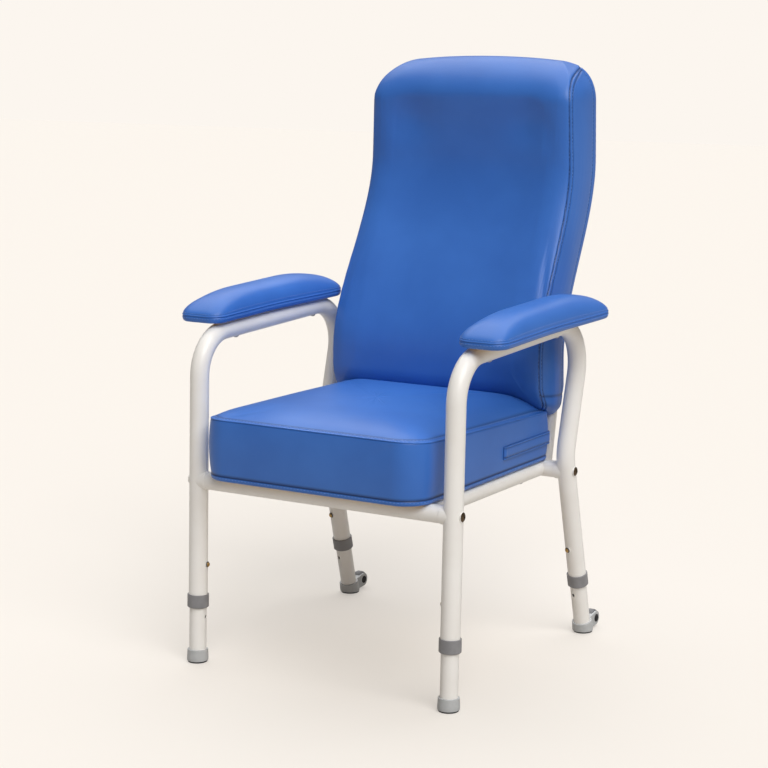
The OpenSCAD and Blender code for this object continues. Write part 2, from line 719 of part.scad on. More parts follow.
module seat_pad() {
    rings = [for (g = seat_ring_shares) let (inset = g[0] * seat_half)
        [for (p = rounded([inset - seat_half, inset - seat_front], [seat_half - inset, seat_rear - inset],
                          [max(edge, seat_corner_r - inset), max(edge, seat_rear_r - inset)],
                          6, 8, 5))
            [p[0], p[1], seat_base + g[1] * seat_seam(p[1])
                + g[2] * (seat_top(p[1]) - seat_seam(p[1]))]]];
    half = seat_half - board_inset + seat_gap;
    r = seat_corner_r - board_inset + seat_gap;
    color(blue_vinyl) in_place() difference() {
        on_seat() skin(rings);
        on_seat() translate([0, 0, seat_base - over]) linear_extrude(height = board_t + over + seat_gap)
            polygon(rounded([-half, board_inset - seat_front - seat_gap],
                            [half, seat_rear - board_inset + seat_gap], [r, seat_rear_r + seat_gap], 1, 1, 12));
        for (side = [-1, 1]) post_plane(side) bent_bar([post_foot, post_hip], [], post_r + seat_gap);
    }
}

// Flap over the cover's zip: a flat band round the back of the cushion
flap_from = 255;
flap_low = 32;
flap_h = 24;
flap_t = 1.4;
flap_gap = 0.3;
flap_out = seat_bulge_share * seat_half + flap_gap;
module zip_flap() {
    half = seat_half + flap_out;
    back = seat_rear + flap_out;
    color(dark_vinyl) in_place() on_seat() translate([0, 0, seat_base + flap_low]) linear_extrude(height = flap_h)
        difference() {
            flap_outline(half + flap_t, back + flap_t, seat_rear_r + flap_out + flap_t);
            flap_outline(half, back, seat_rear_r + flap_out);
            translate([-frame_w, -frame_w]) square([2 * frame_w, frame_w + flap_from]);
        }
}
module flap_outline(half, back, r) { polygon(rounded([-half, 0], [half, back], [edge, r], 1, 1, 8)); }

arm_board_side = 9;
arm_board_half = pad_w / 2 - arm_board_side;
arm_board_inset = 12;
arm_board_r = 20;

// Frame of one arm pad: origin under the middle of its front end
module on_pad(side) {
    on_arm(side) translate([side * pad_out, pad_from, seat_gap]) children();
}

module arm_board(side) {
    color(plywood) in_place() difference() {
        on_pad(side) linear_extrude(height = pad_board_t)
            polygon(rounded([-arm_board_half, arm_board_inset],
                            [arm_board_half, pad_len - arm_board_inset],
                            [arm_board_r, arm_board_r], 1, 1, 10));
        for (y = arm_screw_ys)
            on_arm(side) translate([0, y, -over])
                cylinder(h = pad_board_t * 0.8 + over, r = arm_screw_d / 2 + play, $fn = fine_fn);
    }
}

// Screws up through the arm tubes into the pad boards
module arm_screws() {
    head_h = 3;
    reach = tube_d + seat_gap + pad_board_t * 0.7;
    color(steel) in_place() for (side = [-1, 1], y = arm_screw_ys)
        on_arm(side) translate([0, y, -tube_d]) mirror([0, 0, 1])
            domed_bolt(arm_screw_d, reach, arm_screw_d * 2, head_h, arm_screw_d * 0.6);
}

// Rings of an arm pad from below: insets at the sides and at the sloping ends as shares of the
// half width, height as a share of the pad's height
pad_ring_shares = [[0.49, 0.49, 0], [0.111, 0.111, 0], [0.022, 0.022, 0.05],
                   [-0.011, -0.011, 0.16], [0, 0, 0.27], [0.033, 0.13, 0.45], [0.133, 0.5, 0.68],
                   [0.311, 1.15, 0.86], [0.556, 1.85, 0.96], [0.844, 2.65, 1]];
pad_front_share = 0.6;
pad_rear_share = 0.96;

module arm_pad(side) {
    half = pad_w / 2;
    rings = [for (g = pad_ring_shares) let (inset = g[0] * half, slope = g[1] * half)
        [for (p = rounded([inset - half, slope], [half - inset, pad_len - slope],
                          [max(edge, pad_front_share * half - inset),
                           max(edge, pad_rear_share * half - inset)], 3, 6, 5))
            [p[0], p[1], g[2] * pad_h]]];
    color(blue_vinyl) in_place() on_pad(side) difference() {
        skin(rings);
        translate([0, 0, -over]) linear_extrude(height = pad_board_t + over + seat_gap)
            polygon(rounded([-arm_board_half - seat_gap, arm_board_inset - seat_gap],
                            [arm_board_half + seat_gap, pad_len - arm_board_inset + seat_gap],
                            [arm_board_r + seat_gap, arm_board_r + seat_gap], 1, 1, 10));
    }
}

// Moulded guide at the lower end of a frame tube: its lip guides the leg extension
module collar(side, rear) {
    outer = collar_d / 2;
    mouth = edge / 2;
    color(dark_grey) in_place() on_leg(side, rear) translate([0, 0, collar_s]) rotate_extrude()
        polygon([[leg_r + play, mouth], [leg_r + play + mouth, 0], [outer - 2 * edge, 0],
                 [outer, 2 * edge], [outer, collar_h - edge], [outer - edge, collar_h],
                 [tube_r + edge, collar_h], [tube_r, collar_h - edge], [tube_r, collar_lip],
                 [leg_r + play, collar_lip]]);
}

// Leg extension with its row of setting holes
module leg(side, rear) {
    color(white_coat) in_place() difference() {
        on_leg(side, rear) translate([0, 0, leg_bottom_s]) difference() {
            cylinder(h = leg_top_s - leg_bottom_s, r = leg_r);
            translate([0, 0, -over])
                cylinder(h = leg_top_s - leg_bottom_s + 2 * over, r = leg_r - leg_wall);
        }
        for (k = [-settings_down : settings_up])
            on_leg(side, rear) translate([0, 0, k * hole_pitch]) unleg(side, rear)
                on_lock(side, rear) cylinder(h = tube_d, d = hole_d, $fn = fine_fn);
    }
}

// Undoes on_leg, so that a lock's hole can be stepped along the leg
module unleg(side, rear) {
    rotate([rear ? -rear_rake : front_lean, 0, 0])
        translate([-side * half_w, rear ? -rear_floor : -front_floor, 0]) children();
}

// Ferrule on a leg's end, cut level above the sole; the rear ones carry a fork for the wheel
module foot(side, rear) {
    outer = foot_d / 2;
    color(light_grey) in_place() difference() {
        union() {
            on_leg(side, rear) rotate_extrude()
                polygon([[0, -foot_h / 3], [outer - edge, -foot_h / 3], [outer, foot_h / 3],
                         [outer - edge, foot_h - 2 * edge], [outer - edge, foot_h - edge],
                         [outer - 2 * edge, foot_h], [0, foot_h]]);
            if (rear) fork(side);
        }
        on_leg(side, rear) translate([0, 0, leg_bottom_s]) cylinder(h = foot_h, r = leg_r);
        translate([-frame_w, -frame_w, sole_t - frame_w]) cube([2 * frame_w, 3 * frame_w, frame_w]);
        spigot(side, rear, spigot_d / 2 + play);
        if (rear) fork_slot(side);
    }
}

// Two cheeks from the ferrule back to the axle
module fork(side) {
    upright_plane(side * half_w - fork_w / 2) linear_extrude(height = fork_w) union() {
        translate(axle) circle(r = cheek_r);
        polygon([[rear_floor, sole_t], [axle[0], axle[1] - cheek_r],
                 [axle[0], axle[1] + cheek_r],
                 [rear_floor - foot_h * tan(rear_rake), foot_h]]);
    }
}

// Room between the cheeks for the wheel, and the axle's bore
module fork_slot(side) {
    slot_r = wheel_r + 2 * axle_gap;
    upright_plane(side * half_w - wheel_w / 2 - axle_gap)
        linear_extrude(height = wheel_w + 2 * axle_gap) translate(axle) circle(r = slot_r);
    upright_plane(side * half_w - fork_w) linear_extrude(height = 2 * fork_w)
        translate(axle) circle(d = axle_d, $fn = fine_fn);
}

// Upright spigot of a sole, in the middle of its foot
spigot_d = 8;
spigot_h = 3;
module spigot(side, rear, r) {
    translate([side * half_w, rear ? rear_floor : front_floor, sole_t / 2])
        cylinder(h = sole_t / 2 + spigot_h, r = r, $fn = fine_fn);
}

// Rubber sole, level underneath, with a spigot up into the foot
module sole(side, rear) {
    r = foot_d / 2 - sole_inset;
    color(black_rubber) in_place() union() {
        intersection() {
            on_leg(side, rear) translate([0, 0, -foot_h]) cylinder(h = 2 * foot_h, r = r);
            translate([-frame_w, -frame_w, 0]) cube([2 * frame_w, 3 * frame_w, sole_t]);
        }
        spigot(side, rear, spigot_d / 2);
    }
}

module wheel(side) {
    crown = 1.2;
    color(dark_grey) in_place() upright_plane(side * half_w) translate(axle) rotate_extrude()
        polygon([[axle_d / 2 + play, -wheel_w / 2], [wheel_r * 0.55, -wheel_w / 2],
                 [wheel_r * 0.6, -wheel_w / 2 + edge], [wheel_r * 0.8, -wheel_w / 2 + edge],
                 [wheel_r * 0.84, -wheel_w / 2], [wheel_r - crown, -wheel_w / 2],
                 [wheel_r, -wheel_w / 2 + 2 * crown], [wheel_r, wheel_w / 2 - 2 * crown],
                 [wheel_r - crown, wheel_w / 2], [wheel_r * 0.84, wheel_w / 2],
                 [wheel_r * 0.8, wheel_w / 2 - edge], [wheel_r * 0.6, wheel_w / 2 - edge],
                 [wheel_r * 0.55, wheel_w / 2], [axle_d / 2 + play, wheel_w / 2]]);
}

module axle_pin(side) {
    color(steel) in_place() upright_plane(side * half_w) translate(axle)
        cylinder(h = fork_w, d = axle_d, center = true, $fn = fine_fn);
}

module axle_caps(side) {
    color(black_rubber) in_place() upright_plane(side * half_w) translate(axle)
        for (end = [-1, 1]) translate([0, 0, end * fork_w / 2]) rotate([end < 0 ? 180 : 0, 0, 0])
            rotate_extrude() polygon([[0, 0], [cap_d / 2, 0], [cap_d / 2, cap_t - edge],
                                      [cap_d / 2 - edge, cap_t], [0, cap_t]]);
}

// Steel bush in the frame tube's wall that guides the locking pin
module lock_bush(side, rear) {
    head_r = bush_d / 2;
    head_z = tube_r + ring_t;
    color(dark_grey) in_place() on_lock(side, rear) difference() {
        union() {
            translate([0, 0, bore_r + play])
                cylinder(h = head_z - bore_r - play, r = bush_neck_r, $fn = fine_fn);
            translate([0, 0, head_z]) cylinder(h = lock_top - edge - head_z, r = head_r, $fn = fine_fn);
            translate([0, 0, lock_top - edge]) cylinder(h = edge, r1 = head_r, r2 = bush_neck_r, $fn = fine_fn);
        }
        translate([0, 0, bore_r - over])
            cylinder(h = lock_seat - bore_r + over, r = pin_d / 2 + play, $fn = fine_fn);
        cylinder(h = tube_d, r = stem_d / 2 + play, $fn = fine_fn);
    }
}

// Nylon rings between the bushes' heads and the tubes, coped to the tubes
module lock_rings() {
    color(white_coat) in_place() for (rear = [false, true], side = [-1, 1]) difference() {
        on_lock(side, rear) difference() {
            translate([0, 0, bore_r]) cylinder(h = tube_r + ring_t - bore_r, d = ring_d, $fn = fine_fn);
            cylinder(h = tube_d, r = bush_neck_r + play / 2, $fn = fine_fn);
        }
        on_leg(side, rear) cylinder(h = 2 * lock_s, r = tube_r);
    }
}

module lock_pin(side, rear) {
    dome_r = (pow(button_d / 2, 2) + pow(button_h, 2)) / (2 * button_h);
    base = lock_top + play;
    color(brass) in_place() on_lock(side, rear) {
        translate([0, 0, lock_in]) cylinder(h = lock_tail - lock_in, d = pin_d, $fn = fine_fn);
        translate([0, 0, lock_tail]) cylinder(h = base - lock_tail, d = stem_d, $fn = fine_fn);
        intersection() {
            translate([0, 0, base + button_h - dome_r]) sphere(r = dome_r);
            translate([0, 0, base]) cylinder(h = button_h + over, d = button_d, $fn = fine_fn);
        }
    }
}

// Coil spring round the pin's stem, one unbroken tube of six sides
module lock_spring(side, rear) {
    turns = 2.5;
    rings_per_turn = 8;
    coil_r = (pin_d + stem_d) / 4;
    low = lock_tail + play + spring_wire / 2;
    high = lock_seat - play - spring_wire / 2;
    count = turns * rings_per_turn;
    rings = [for (k = [count : -1 : 0]) let (a = 360 * k / rings_per_turn, z = mix(low, high, k / count))
        [for (s = [0 : 5]) let (b = 60 * s, out = coil_r + spring_wire / 2 * cos(b))
            [out * cos(a), out * sin(a), z + spring_wire / 2 * sin(b)]]];
    color(steel) in_place() on_lock(side, rear) skin(rings);
}

side_frame(-1);  // side_frame_left
side_frame(1);  // side_frame_right
cross_tube(bolt_axes[0]);  // front_cross_tube
cross_tube(bolt_axes[1]);  // rear_cross_tube
side_rail(-1);  // side_rail_left
side_rail(1);  // side_rail_right
saddle_spacers();
threaded_plugs();
frame_bolts();
bolt_washers();
lock_rings();
back_frame();
back_board();
back_board_screws();
back_pad();
seat_board();
seat_screws();
seat_pad();
zip_flap();
arm_board(-1);  // arm_board_left
arm_board(1);  // arm_board_right
arm_screws();
arm_pad(-1);  // arm_pad_left
arm_pad(1);  // arm_pad_right
for (rear = [false, true], side = [-1, 1]) {
    name = str(rear ? "rear_" : "front_", side < 0 ? "left" : "right");
    collar(side, rear);
    leg(side, rear);
    foot(side, rear);
    sole(side, rear);
    lock_bush(side, rear);
    lock_spring(side, rear);
    lock_pin(side, rear);
}
for (side = [-1, 1]) {
    name = side < 0 ? "left" : "right";
    wheel(side);
    axle_pin(side);
    axle_caps(side);
}
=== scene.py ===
# %% [markdown]
# # A high back chair for a ward or a day room
# The frame, legs, locks and bolts of this chair come ready from the packed
# model. What is left is everything an upholsterer and a finisher do: the
# padded seat, back and arms with their seams and stitches, the flap over the
# zip, and the finish of every tube, bush and foot.

# %% Load the imported model
import math

import bmesh
import bpy
import numpy as np
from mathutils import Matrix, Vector


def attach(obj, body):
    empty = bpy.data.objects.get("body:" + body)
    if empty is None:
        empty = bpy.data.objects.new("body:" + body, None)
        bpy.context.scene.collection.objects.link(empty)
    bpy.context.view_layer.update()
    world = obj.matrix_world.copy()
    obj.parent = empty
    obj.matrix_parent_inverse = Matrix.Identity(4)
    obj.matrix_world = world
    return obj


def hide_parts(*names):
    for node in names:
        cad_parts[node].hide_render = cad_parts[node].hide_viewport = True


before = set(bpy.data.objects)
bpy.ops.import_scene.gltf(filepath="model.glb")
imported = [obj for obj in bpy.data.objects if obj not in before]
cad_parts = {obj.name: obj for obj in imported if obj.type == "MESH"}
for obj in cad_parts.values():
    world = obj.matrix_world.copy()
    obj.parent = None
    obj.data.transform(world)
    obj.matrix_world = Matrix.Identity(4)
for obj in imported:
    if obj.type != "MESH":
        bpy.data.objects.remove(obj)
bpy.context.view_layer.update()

# %% [markdown]
# ## The camera
# The picture that the chair is matched to was taken from about four metres
# off. Place, aim and lens were fitted to points on the chair: soles, bolts,
# collars and the corners of the cushion. The fit gives the lens in pixels,
# which is turned to millimetres on the sensor.

# %% Place the camera
MM = 0.001
SIDES = {"left": -1, "right": 1}
FOCAL_PX, PICTURE_PX = 2049.4, 768

camera_place = Vector((1918.5, -3286.0, 1199.0)) * MM
camera_aim = Vector((-37.6, -25.6, 500.8)) * MM
camera_data = bpy.data.cameras.new("camera")
camera_data.sensor_width = 36.0
camera_data.lens = FOCAL_PX / PICTURE_PX * camera_data.sensor_width
camera = bpy.data.objects.new("camera", camera_data)
camera.location = camera_place
camera.rotation_euler = (camera_aim - camera_place).to_track_quat("-Z", "Y").to_euler()
bpy.context.scene.collection.objects.link(camera)
bpy.context.scene.camera = camera
print("lens:", round(camera_data.lens, 1), "mm")

# %% [markdown]
# ## Curves and blends
# The shapes below are blends of simple curves on whole arrays, so that one
# call shapes all the points of a pad. A profile is given by a few rows of
# numbers, and a smooth curve through them gives the rest.

# %% Blend and draw out
def smooth(u):
    """0 below 0, 1 above 1, and an even curve between: u squared times (3 - 2u)."""
    c = np.clip(u, 0, 1)
    return c * c * (3 - 2 * c)


def mix(a, b, u):
    """A share u of the way from a to b."""
    return a + (b - a) * u


def bell(gap, middle, reach):
    """1 where gap is at the middle, falling to both sides: e to the minus ((gap - middle) / reach) squared."""
    return np.exp(-((gap - middle) / reach) ** 2)


def through(a, b, c, d, u):
    """A share u of the way from b to c on a curve that leaves each point in the direction of its
    neighbours: Catmull and Rom's sum of a, b, c and d with weights that are cubes of u."""
    return 0.5 * (2 * b + (c - a) * u + (2 * a - 5 * b + 4 * c - d) * u**2
                  + (3 * b - a - 3 * c + d) * u**3)


def spread(table, count):
    """A table's rows drawn out to count rows by a smooth curve through each of its columns."""
    rows = np.asarray(table, float)
    padded = np.concatenate([rows[:1] * 2 - rows[1:2], rows, rows[-1:] * 2 - rows[-2:-1]])
    at = np.linspace(0, len(rows) - 1, count)
    k = np.minimum(at.astype(int), len(rows) - 2)
    return through(*(padded[k + q] for q in range(4)), (at - k)[:, None])


def raised(flat, z):
    """Points of a flat outline set at the height z, which is one number or one for each point."""
    return np.concatenate([flat, (z + 0 * flat[..., 0])[..., None]], -1)


# %% [markdown]
# ## Surfaces as whole arrays
# A pad is a stack of rings, each with the same number of points, worked out
# as one array, and its skin runs from ring to ring. Where the last ring
# shrinks to a point or a line, its doubles are merged. For each point the
# skin keeps how deep it lies in a seam, and by that depth the vinyl is painted
# darker there: painted shade for the shadow in the seam's groove.

# %% Make a closed skin from rings
MERGE = 0.02


def ring_faces(m, n):
    """Faces through m closed rings of n points: point j of ring i is joined to point j of ring i + 1."""
    i, j = np.arange(m - 1)[:, None] * n, np.arange(n)[None, :]
    k = (j + 1) % n
    return np.stack([i + j, i + k, i + n + k, i + n + j], -1).reshape(-1, 4)


def face_outwards(mesh, merge=0.0):
    """Turns a closed mesh's faces outwards, after points closer than merge, in millimetres, are made one."""
    work = bmesh.new()
    work.from_mesh(mesh)
    if merge:
        bmesh.ops.remove_doubles(work, verts=work.verts, dist=merge * MM)
    bmesh.ops.recalc_face_normals(work, faces=work.faces)
    work.to_mesh(mesh)
    work.free()


def placed(name, mesh):
    """A new object of the mesh, at the origin, so that its place is in its points."""
    piece = bpy.data.objects.new(name, mesh)
    bpy.context.scene.collection.objects.link(piece)
    return piece


def skin(name, rings, seam_shade):
    """Mesh object through closed rings, an array of (ring, point, 3) in millimetres.
    seam_shade, of (ring, point), says how deep in a seam each point lies, from 0 to 1, and so how much
    painted shade the vinyl gets there."""
    m, n = rings.shape[:2]
    mesh = bpy.data.meshes.new(name)
    mesh.from_pydata((rings.reshape(-1, 3) * MM).tolist(), [], ring_faces(m, n).tolist())
    depth = np.clip(seam_shade, 0, 1) + np.zeros((m, n))
    # The seam depth is kept on the points, and the vinyl paints shade into the grooves by it
    mesh.attributes.new("seam", "FLOAT", "POINT").data.foreach_set("value", depth.ravel())
    face_outwards(mesh, MERGE)
    mesh.shade_smooth()
    print(name, "points:", len(mesh.vertices))
    return placed(name, mesh)


# %% [markdown]
# ## A rounded outline by its length
# The cushion, the back and the arm pads all have a rounded rectangle for an
# outline. It is measured along its own length, because stitches have to sit
# at an even pitch all the way round, corners included.

# %% Outline of a rounded rectangle
def outline(s, lo, hi, r_lo, r_hi):
    """Points, outward directions and whole length of the outline of a rectangle from lo to hi, at shares s
    of the way round, counter-clockwise from the middle of its upper side. A point is its corner's centre
    plus the radius times the outward direction, which all change evenly along a stretch."""
    (x0, y0), (x1, y1) = lo, hi
    middle = ((x0 + x1) / 2, y1 - r_hi, r_hi)
    corners = [(x0 + r_hi, y1 - r_hi, r_hi), (x0 + r_lo, y0 + r_lo, r_lo),
               (x1 - r_lo, y0 + r_lo, r_lo), (x1 - r_hi, y1 - r_hi, r_hi)]
    turns = [(*corner, 90 * (k + q)) for k, corner in enumerate(corners, 1) for q in (0, 1)]
    knots = np.array([(*middle, 90), *turns, (*middle, 450)])
    straight = np.abs(np.diff(knots[:, :2], axis=0)).max(1)
    along = np.concatenate([[0], np.cumsum(straight + knots[1:, 2] * np.radians(np.diff(knots[:, 3])))])
    at = np.mod(s, 1.0) * along[-1]
    cx, cy, r, a = (np.interp(at, along, knots[:, q]) for q in range(4))
    way = np.stack([np.cos(np.radians(a)), np.sin(np.radians(a))], -1)
    return np.stack([cx, cy], -1) + r[..., None] * way, way, along[-1]


# %% [markdown]
# ## Stitches
# A top-stitched seam is two or more rows of thread, each stitch a few
# millimetres long, sunk at its ends where the thread goes down through the
# vinyl. There are hundreds of them, so each is only a few dozen faces.

# %% Rows of stitches
STITCH_SHARES = np.array([0, 0.1, 0.3, 0.7, 0.9, 1.0])
STITCH_RADII = np.array([0.25, 0.75, 1, 1, 0.75, 0.25])
STITCH_SIDES = 6


def stitch_row(line, out, pitch, length, thick, lift=0.0):
    """Points, side faces and end faces of stitches along a line of points (n, 3) with outward directions
    out (n, 3), in millimetres. Each stitch is a rounded bar: rings of six points whose radius is half the
    thickness times a share that falls at the ends, and its ends sink by the fourth power of the way out."""
    gaps = np.linalg.norm(np.diff(line, axis=0), axis=1)
    along = np.concatenate([[0], np.cumsum(gaps)])
    count = max(1, int(along[-1] / pitch))
    middle = (np.arange(count) + 0.5) * along[-1] / count
    at = middle[:, None] + (STITCH_SHARES - 0.5) * length
    place = np.stack([np.interp(at, along, line[:, q]) for q in range(3)], -1)
    up = np.stack([np.interp(at, along, out[:, q]) for q in range(3)], -1)
    up /= np.linalg.norm(up, axis=-1, keepdims=True)
    way = np.gradient(place, axis=1)
    way /= np.linalg.norm(way, axis=-1, keepdims=True) + 1e-9
    across = np.cross(way, up)
    sink = lift - 0.5 * thick * (np.abs(STITCH_SHARES - 0.5) * 2) ** 4
    place = place + up * sink[None, :, None]
    turn = np.arange(STITCH_SIDES) * 2 * math.pi / STITCH_SIDES
    radii = STITCH_RADII * thick / 2
    ring = (place[:, :, None] + radii[None, :, None, None]
            * (across[:, :, None] * np.cos(turn)[:, None] + up[:, :, None] * np.sin(turn)[:, None]))
    m, n = len(STITCH_SHARES), STITCH_SIDES
    faces = (ring_faces(m, n)[None] + (np.arange(count) * m * n)[:, None, None]).reshape(-1, 4)
    ends = np.arange(count)[:, None] * m * n
    caps = np.concatenate([ends + np.arange(n)[None, ::-1], ends + (m - 1) * n + np.arange(n)[None]])
    return ring.reshape(-1, 3), faces, caps


def stitches(name, rows):
    """One object from several rows of stitches."""
    points, faces, caps, start = [], [], [], 0
    for row_points, row_faces, row_caps in rows:
        points.append(row_points)
        faces += (row_faces + start).tolist()
        caps += (row_caps + start).tolist()
        start += len(row_points)
    mesh = bpy.data.meshes.new(name)
    mesh.from_pydata((np.concatenate(points) * MM).tolist(), [], faces + caps)
    face_outwards(mesh)
    mesh.shade_smooth()
    print(name, "stitches:", len(caps) // 2)
    return placed(name, mesh)


# %% [markdown]
# ## Pressing a seam into a skin
# A seam that doesn't follow the rings is pressed into the finished skin:
# points near its line move in, against the skin's outward direction.

# %% Nearness and outward directions
def near(points, line, reach):
    """How near each point is to a line of points: 1 on it, and e to the minus (distance / reach) squared
    away from it. Only points in a box round each part of the line are measured."""
    flat = points.reshape(-1, 3)
    best = np.full(len(flat), 1e9)
    for part in np.array_split(line, max(1, len(line) // 40)):
        close = ((flat > part.min(0) - 3 * reach) & (flat < part.max(0) + 3 * reach)).all(1)
        best[close] = np.minimum(best[close], ((flat[close, None] - part[None]) ** 2).sum(-1).min(1))
    return np.exp(-best / reach**2).reshape(points.shape[:-1])


def outward(rings):
    """Outward directions of a stack of closed rings: the cross product of the way up the stack and the
    way round it."""
    round_way = np.roll(rings, -1, 1) - np.roll(rings, 1, 1)
    way = np.cross(round_way, np.gradient(rings, axis=0))
    return way / np.maximum(np.linalg.norm(way, axis=-1, keepdims=True), 1e-9)

# %% [markdown]
# ## Covers as cloth
# A sewn cover is pulled over its foam, and the foam pushes it out between the
# seams. Each cover is run as cloth on a coarse copy of its rings, cut a
# little tight, with the seams held and the foam holding the rest softly. How
# far each point moved is then spread back over the fine rings.

# %% Blow up a cover
CLOTH_FRAMES = 20
PRESSURE = 4.0
TIGHT = 0.003
CLOTH = {"quality": 6, "mass": 0.25, "air_damping": 4.0, "tension_stiffness": 30.0, "compression_stiffness": 30.0,
         "shear_stiffness": 12.0, "bending_stiffness": 6.0, "use_pressure": True,
         "uniform_pressure_force": PRESSURE, "vertex_group_mass": "held", "pin_stiffness": 1.0, "shrink_min": TIGHT}
HOLD_STEPS = 20


def run_cloth(name, points, faces, firm):
    """Points in millimetres after 20 frames of cloth under pressure, each held in place by its share firm."""
    mesh = bpy.data.meshes.new(name)
    mesh.from_pydata((points * MM).tolist(), [], faces.tolist())
    face_outwards(mesh)
    cover = placed(name, mesh)
    group = cover.vertex_groups.new(name="held")
    levels = np.round(firm * HOLD_STEPS) / HOLD_STEPS
    for level in np.unique(levels):
        group.add(np.flatnonzero(levels == level).tolist(), float(level), "REPLACE")
    cloth = cover.modifiers.new("cloth", "CLOTH")
    cloth.collision_settings.use_collision = False
    cloth.point_cache.frame_start, cloth.point_cache.frame_end = 1, CLOTH_FRAMES
    for key, value in CLOTH.items():
        setattr(cloth.settings, key, value)
    cloth.settings.effector_weights.gravity = 0.0
    for frame_number in range(1, CLOTH_FRAMES + 1):
        bpy.context.scene.frame_set(frame_number)
    done = cover.evaluated_get(bpy.context.evaluated_depsgraph_get()).data
    after = np.empty(len(points) * 3, np.float32)
    done.vertices.foreach_get("co", after)
    bpy.data.objects.remove(cover)
    bpy.context.scene.frame_set(1)
    return after.reshape(-1, 3) / MM


def blown(name, rings, held, step, most):
    """Movement of a pad's points, of (ring, point, 3) in millimetres, when its cover is blown up.
    held, from 0 to 1, is how firmly each point is kept, and step how many rings and points the coarse copy
    takes as one. A point that would move by d moves by most * tanh(d / most)."""
    m, n = rings.shape[:2]
    rows = np.unique(np.append(np.arange(0, m, step[0]), m - 1))
    columns = np.arange(0, n, step[1])
    coarse = rings[rows][:, columns].reshape(-1, 3)
    firm = (held + np.zeros((m, n)))[rows][:, columns].ravel()
    # Points that lie together are one, so the faces between them shrink to nothing and go
    cells = np.round(coarse / 0.05).astype(int)
    _, first, place = np.unique(cells, axis=0, return_index=True, return_inverse=True)
    place = place.ravel()
    quads = place[ring_faces(len(rows), len(columns))]
    faces = np.concatenate([quads[:, [0, 1, 2]], quads[:, [0, 2, 3]]])
    faces = faces[(faces != np.roll(faces, 1, 1)).all(1)]
    after = run_cloth(name + "_cloth", coarse[first], faces, firm[first])
    moved = (after - coarse[first])[place].reshape(len(rows), len(columns), 3)
    far = np.linalg.norm(moved, axis=-1, keepdims=True)
    moved = moved * most * np.tanh(far / most) / np.maximum(far, 1e-6)
    # Spread over the fine points: a curve through the points of a ring, an even blend from ring to ring
    at = np.arange(n) / step[1]
    k = at.astype(int)
    along = through(*(moved[:, (k + q) % len(columns)] for q in (-1, 0, 1, 2)), (at - k)[None, :, None])
    low = np.clip(np.searchsorted(rows, np.arange(m), side="right") - 1, 0, len(rows) - 2)
    share = ((np.arange(m) - rows[low]) / (rows[low + 1] - rows[low]))[:, None, None]
    print(name, "cloth points:", len(first), "moved up to", round(float(far.max()), 1), "mm")
    return mix(along[low], along[low + 1], smooth(share))


# %% [markdown]
# ## Where the pads sit
# The cushion lies on two rails that fall a little towards the back, and each
# arm pad lies on an arm tube that rises a little. Points are worked out in
# the pad's own frame and then carried to the chair.

# %% Frames of the seat and the arms
MID_SHIFT = -304.2
RAIL_H, ARM_H = 344.0, 610.0
HALF_W, TUBE_R = 268.0, 17.5
SEAT_TILT, ARM_RISE = math.radians(0.78), math.radians(1.3)
PAD_OUT, PAD_FROM, PAD_GAP = 25.0, 38.0, 0.2


def tilt(points, angle):
    """Points turned about the X axis by an angle in radians."""
    x, y, z = points[..., 0], points[..., 1], points[..., 2]
    c, s = math.cos(angle), math.sin(angle)
    return np.stack([x, y * c - z * s, y * s + z * c], -1)


def from_seat(points):
    """Points of the cushion, carried to the rails: tilted back, then moved."""
    return tilt(points, -SEAT_TILT) + np.array([0, MID_SHIFT, RAIL_H])


def from_arm(points, side):
    """Points of an arm pad, carried to the arm tube on one side: set on the tube, tilted up, then moved."""
    on_tube = points + np.array([side * PAD_OUT, PAD_FROM, TUBE_R + PAD_GAP])
    return tilt(on_tube, ARM_RISE) + np.array([side * HALF_W, MID_SHIFT, ARM_H])


# %% [markdown]
# ## The seat cushion
# A boxed cushion: a strip of vinyl, the boxing, runs round the sides, and a
# top panel is sewn to it and pulled over a crowned block of foam. The foam
# pushes the boxing out between the seam and the hem, and lifts the top
# quickly behind the seam and then slowly towards the middle.

# %% Sizes and curves of the cushion
SEAT_HALF, SEAT_FRONT, SEAT_REAR = 226.0, 54.0, 447.0
SEAT_R_FRONT, SEAT_R_REAR = 52.0, 16.0
SEAT_BASE, SEAT_BOARD_T = 16.2, 12.0
HEM_H = 9.0
HEM_TOP = HEM_H + 0.7
SEAM_FRONT, SEAM_REAR = 112.0, 92.0
CROWN_H, DIP, DIP_FROM, DIP_LENGTH = 131.0, 14.0, 395.0, 50.0
SHOULDER = 92.0


def seat_edge(s, inset=0.0):
    """Outline of the cushion at shares s of the way round, moved inwards by inset."""
    points, way, length = outline(s, (-SEAT_HALF, -SEAT_FRONT), (SEAT_HALF, SEAT_REAR), SEAT_R_FRONT, SEAT_R_REAR)
    return points - way * np.minimum(inset, SEAT_R_REAR - 1)[..., None], way, length


def seam_height(y):
    """Height of the top seam above the underside: it falls from front to rear by the share of the way
    to the power 0.7."""
    return mix(SEAM_FRONT, SEAM_REAR, np.clip((y + SEAT_FRONT) / (SEAT_FRONT + SEAT_REAR), 0, 1) ** 0.7)


def crown_height(y):
    """Height of the crown above the underside, falling where the back presses on it."""
    return CROWN_H - DIP * smooth((y - DIP_FROM) / DIP_LENGTH)


def shoulder(gap):
    """Rise of the top from its seam, 0 to 1: (1 - u^2.4)^(1 / 1.35), with u falling from 1 at the seam
    to 0 at a gap of 92 mm, so that it is steep at the seam and level there."""
    u = 1 - np.clip(gap / SHOULDER, 0, 1)
    return (1 - u**2.4) ** (1 / 1.35)


def boxing_bulge(share):
    """How far the boxing stands out at a share of the way from hem to seam: 0.2 + 4.4 sin(pi share)^0.75."""
    return 0.2 + 4.4 * np.sin(math.pi * np.clip(share, 0, 1)) ** 0.75


# %% [markdown]
# The side of the cushion is a profile carried round the outline: under the
# hem, up the boxing, and over the seam's lip. Each row has an inset, a
# height, and a share of the seam's own height, as the seam falls rearwards.

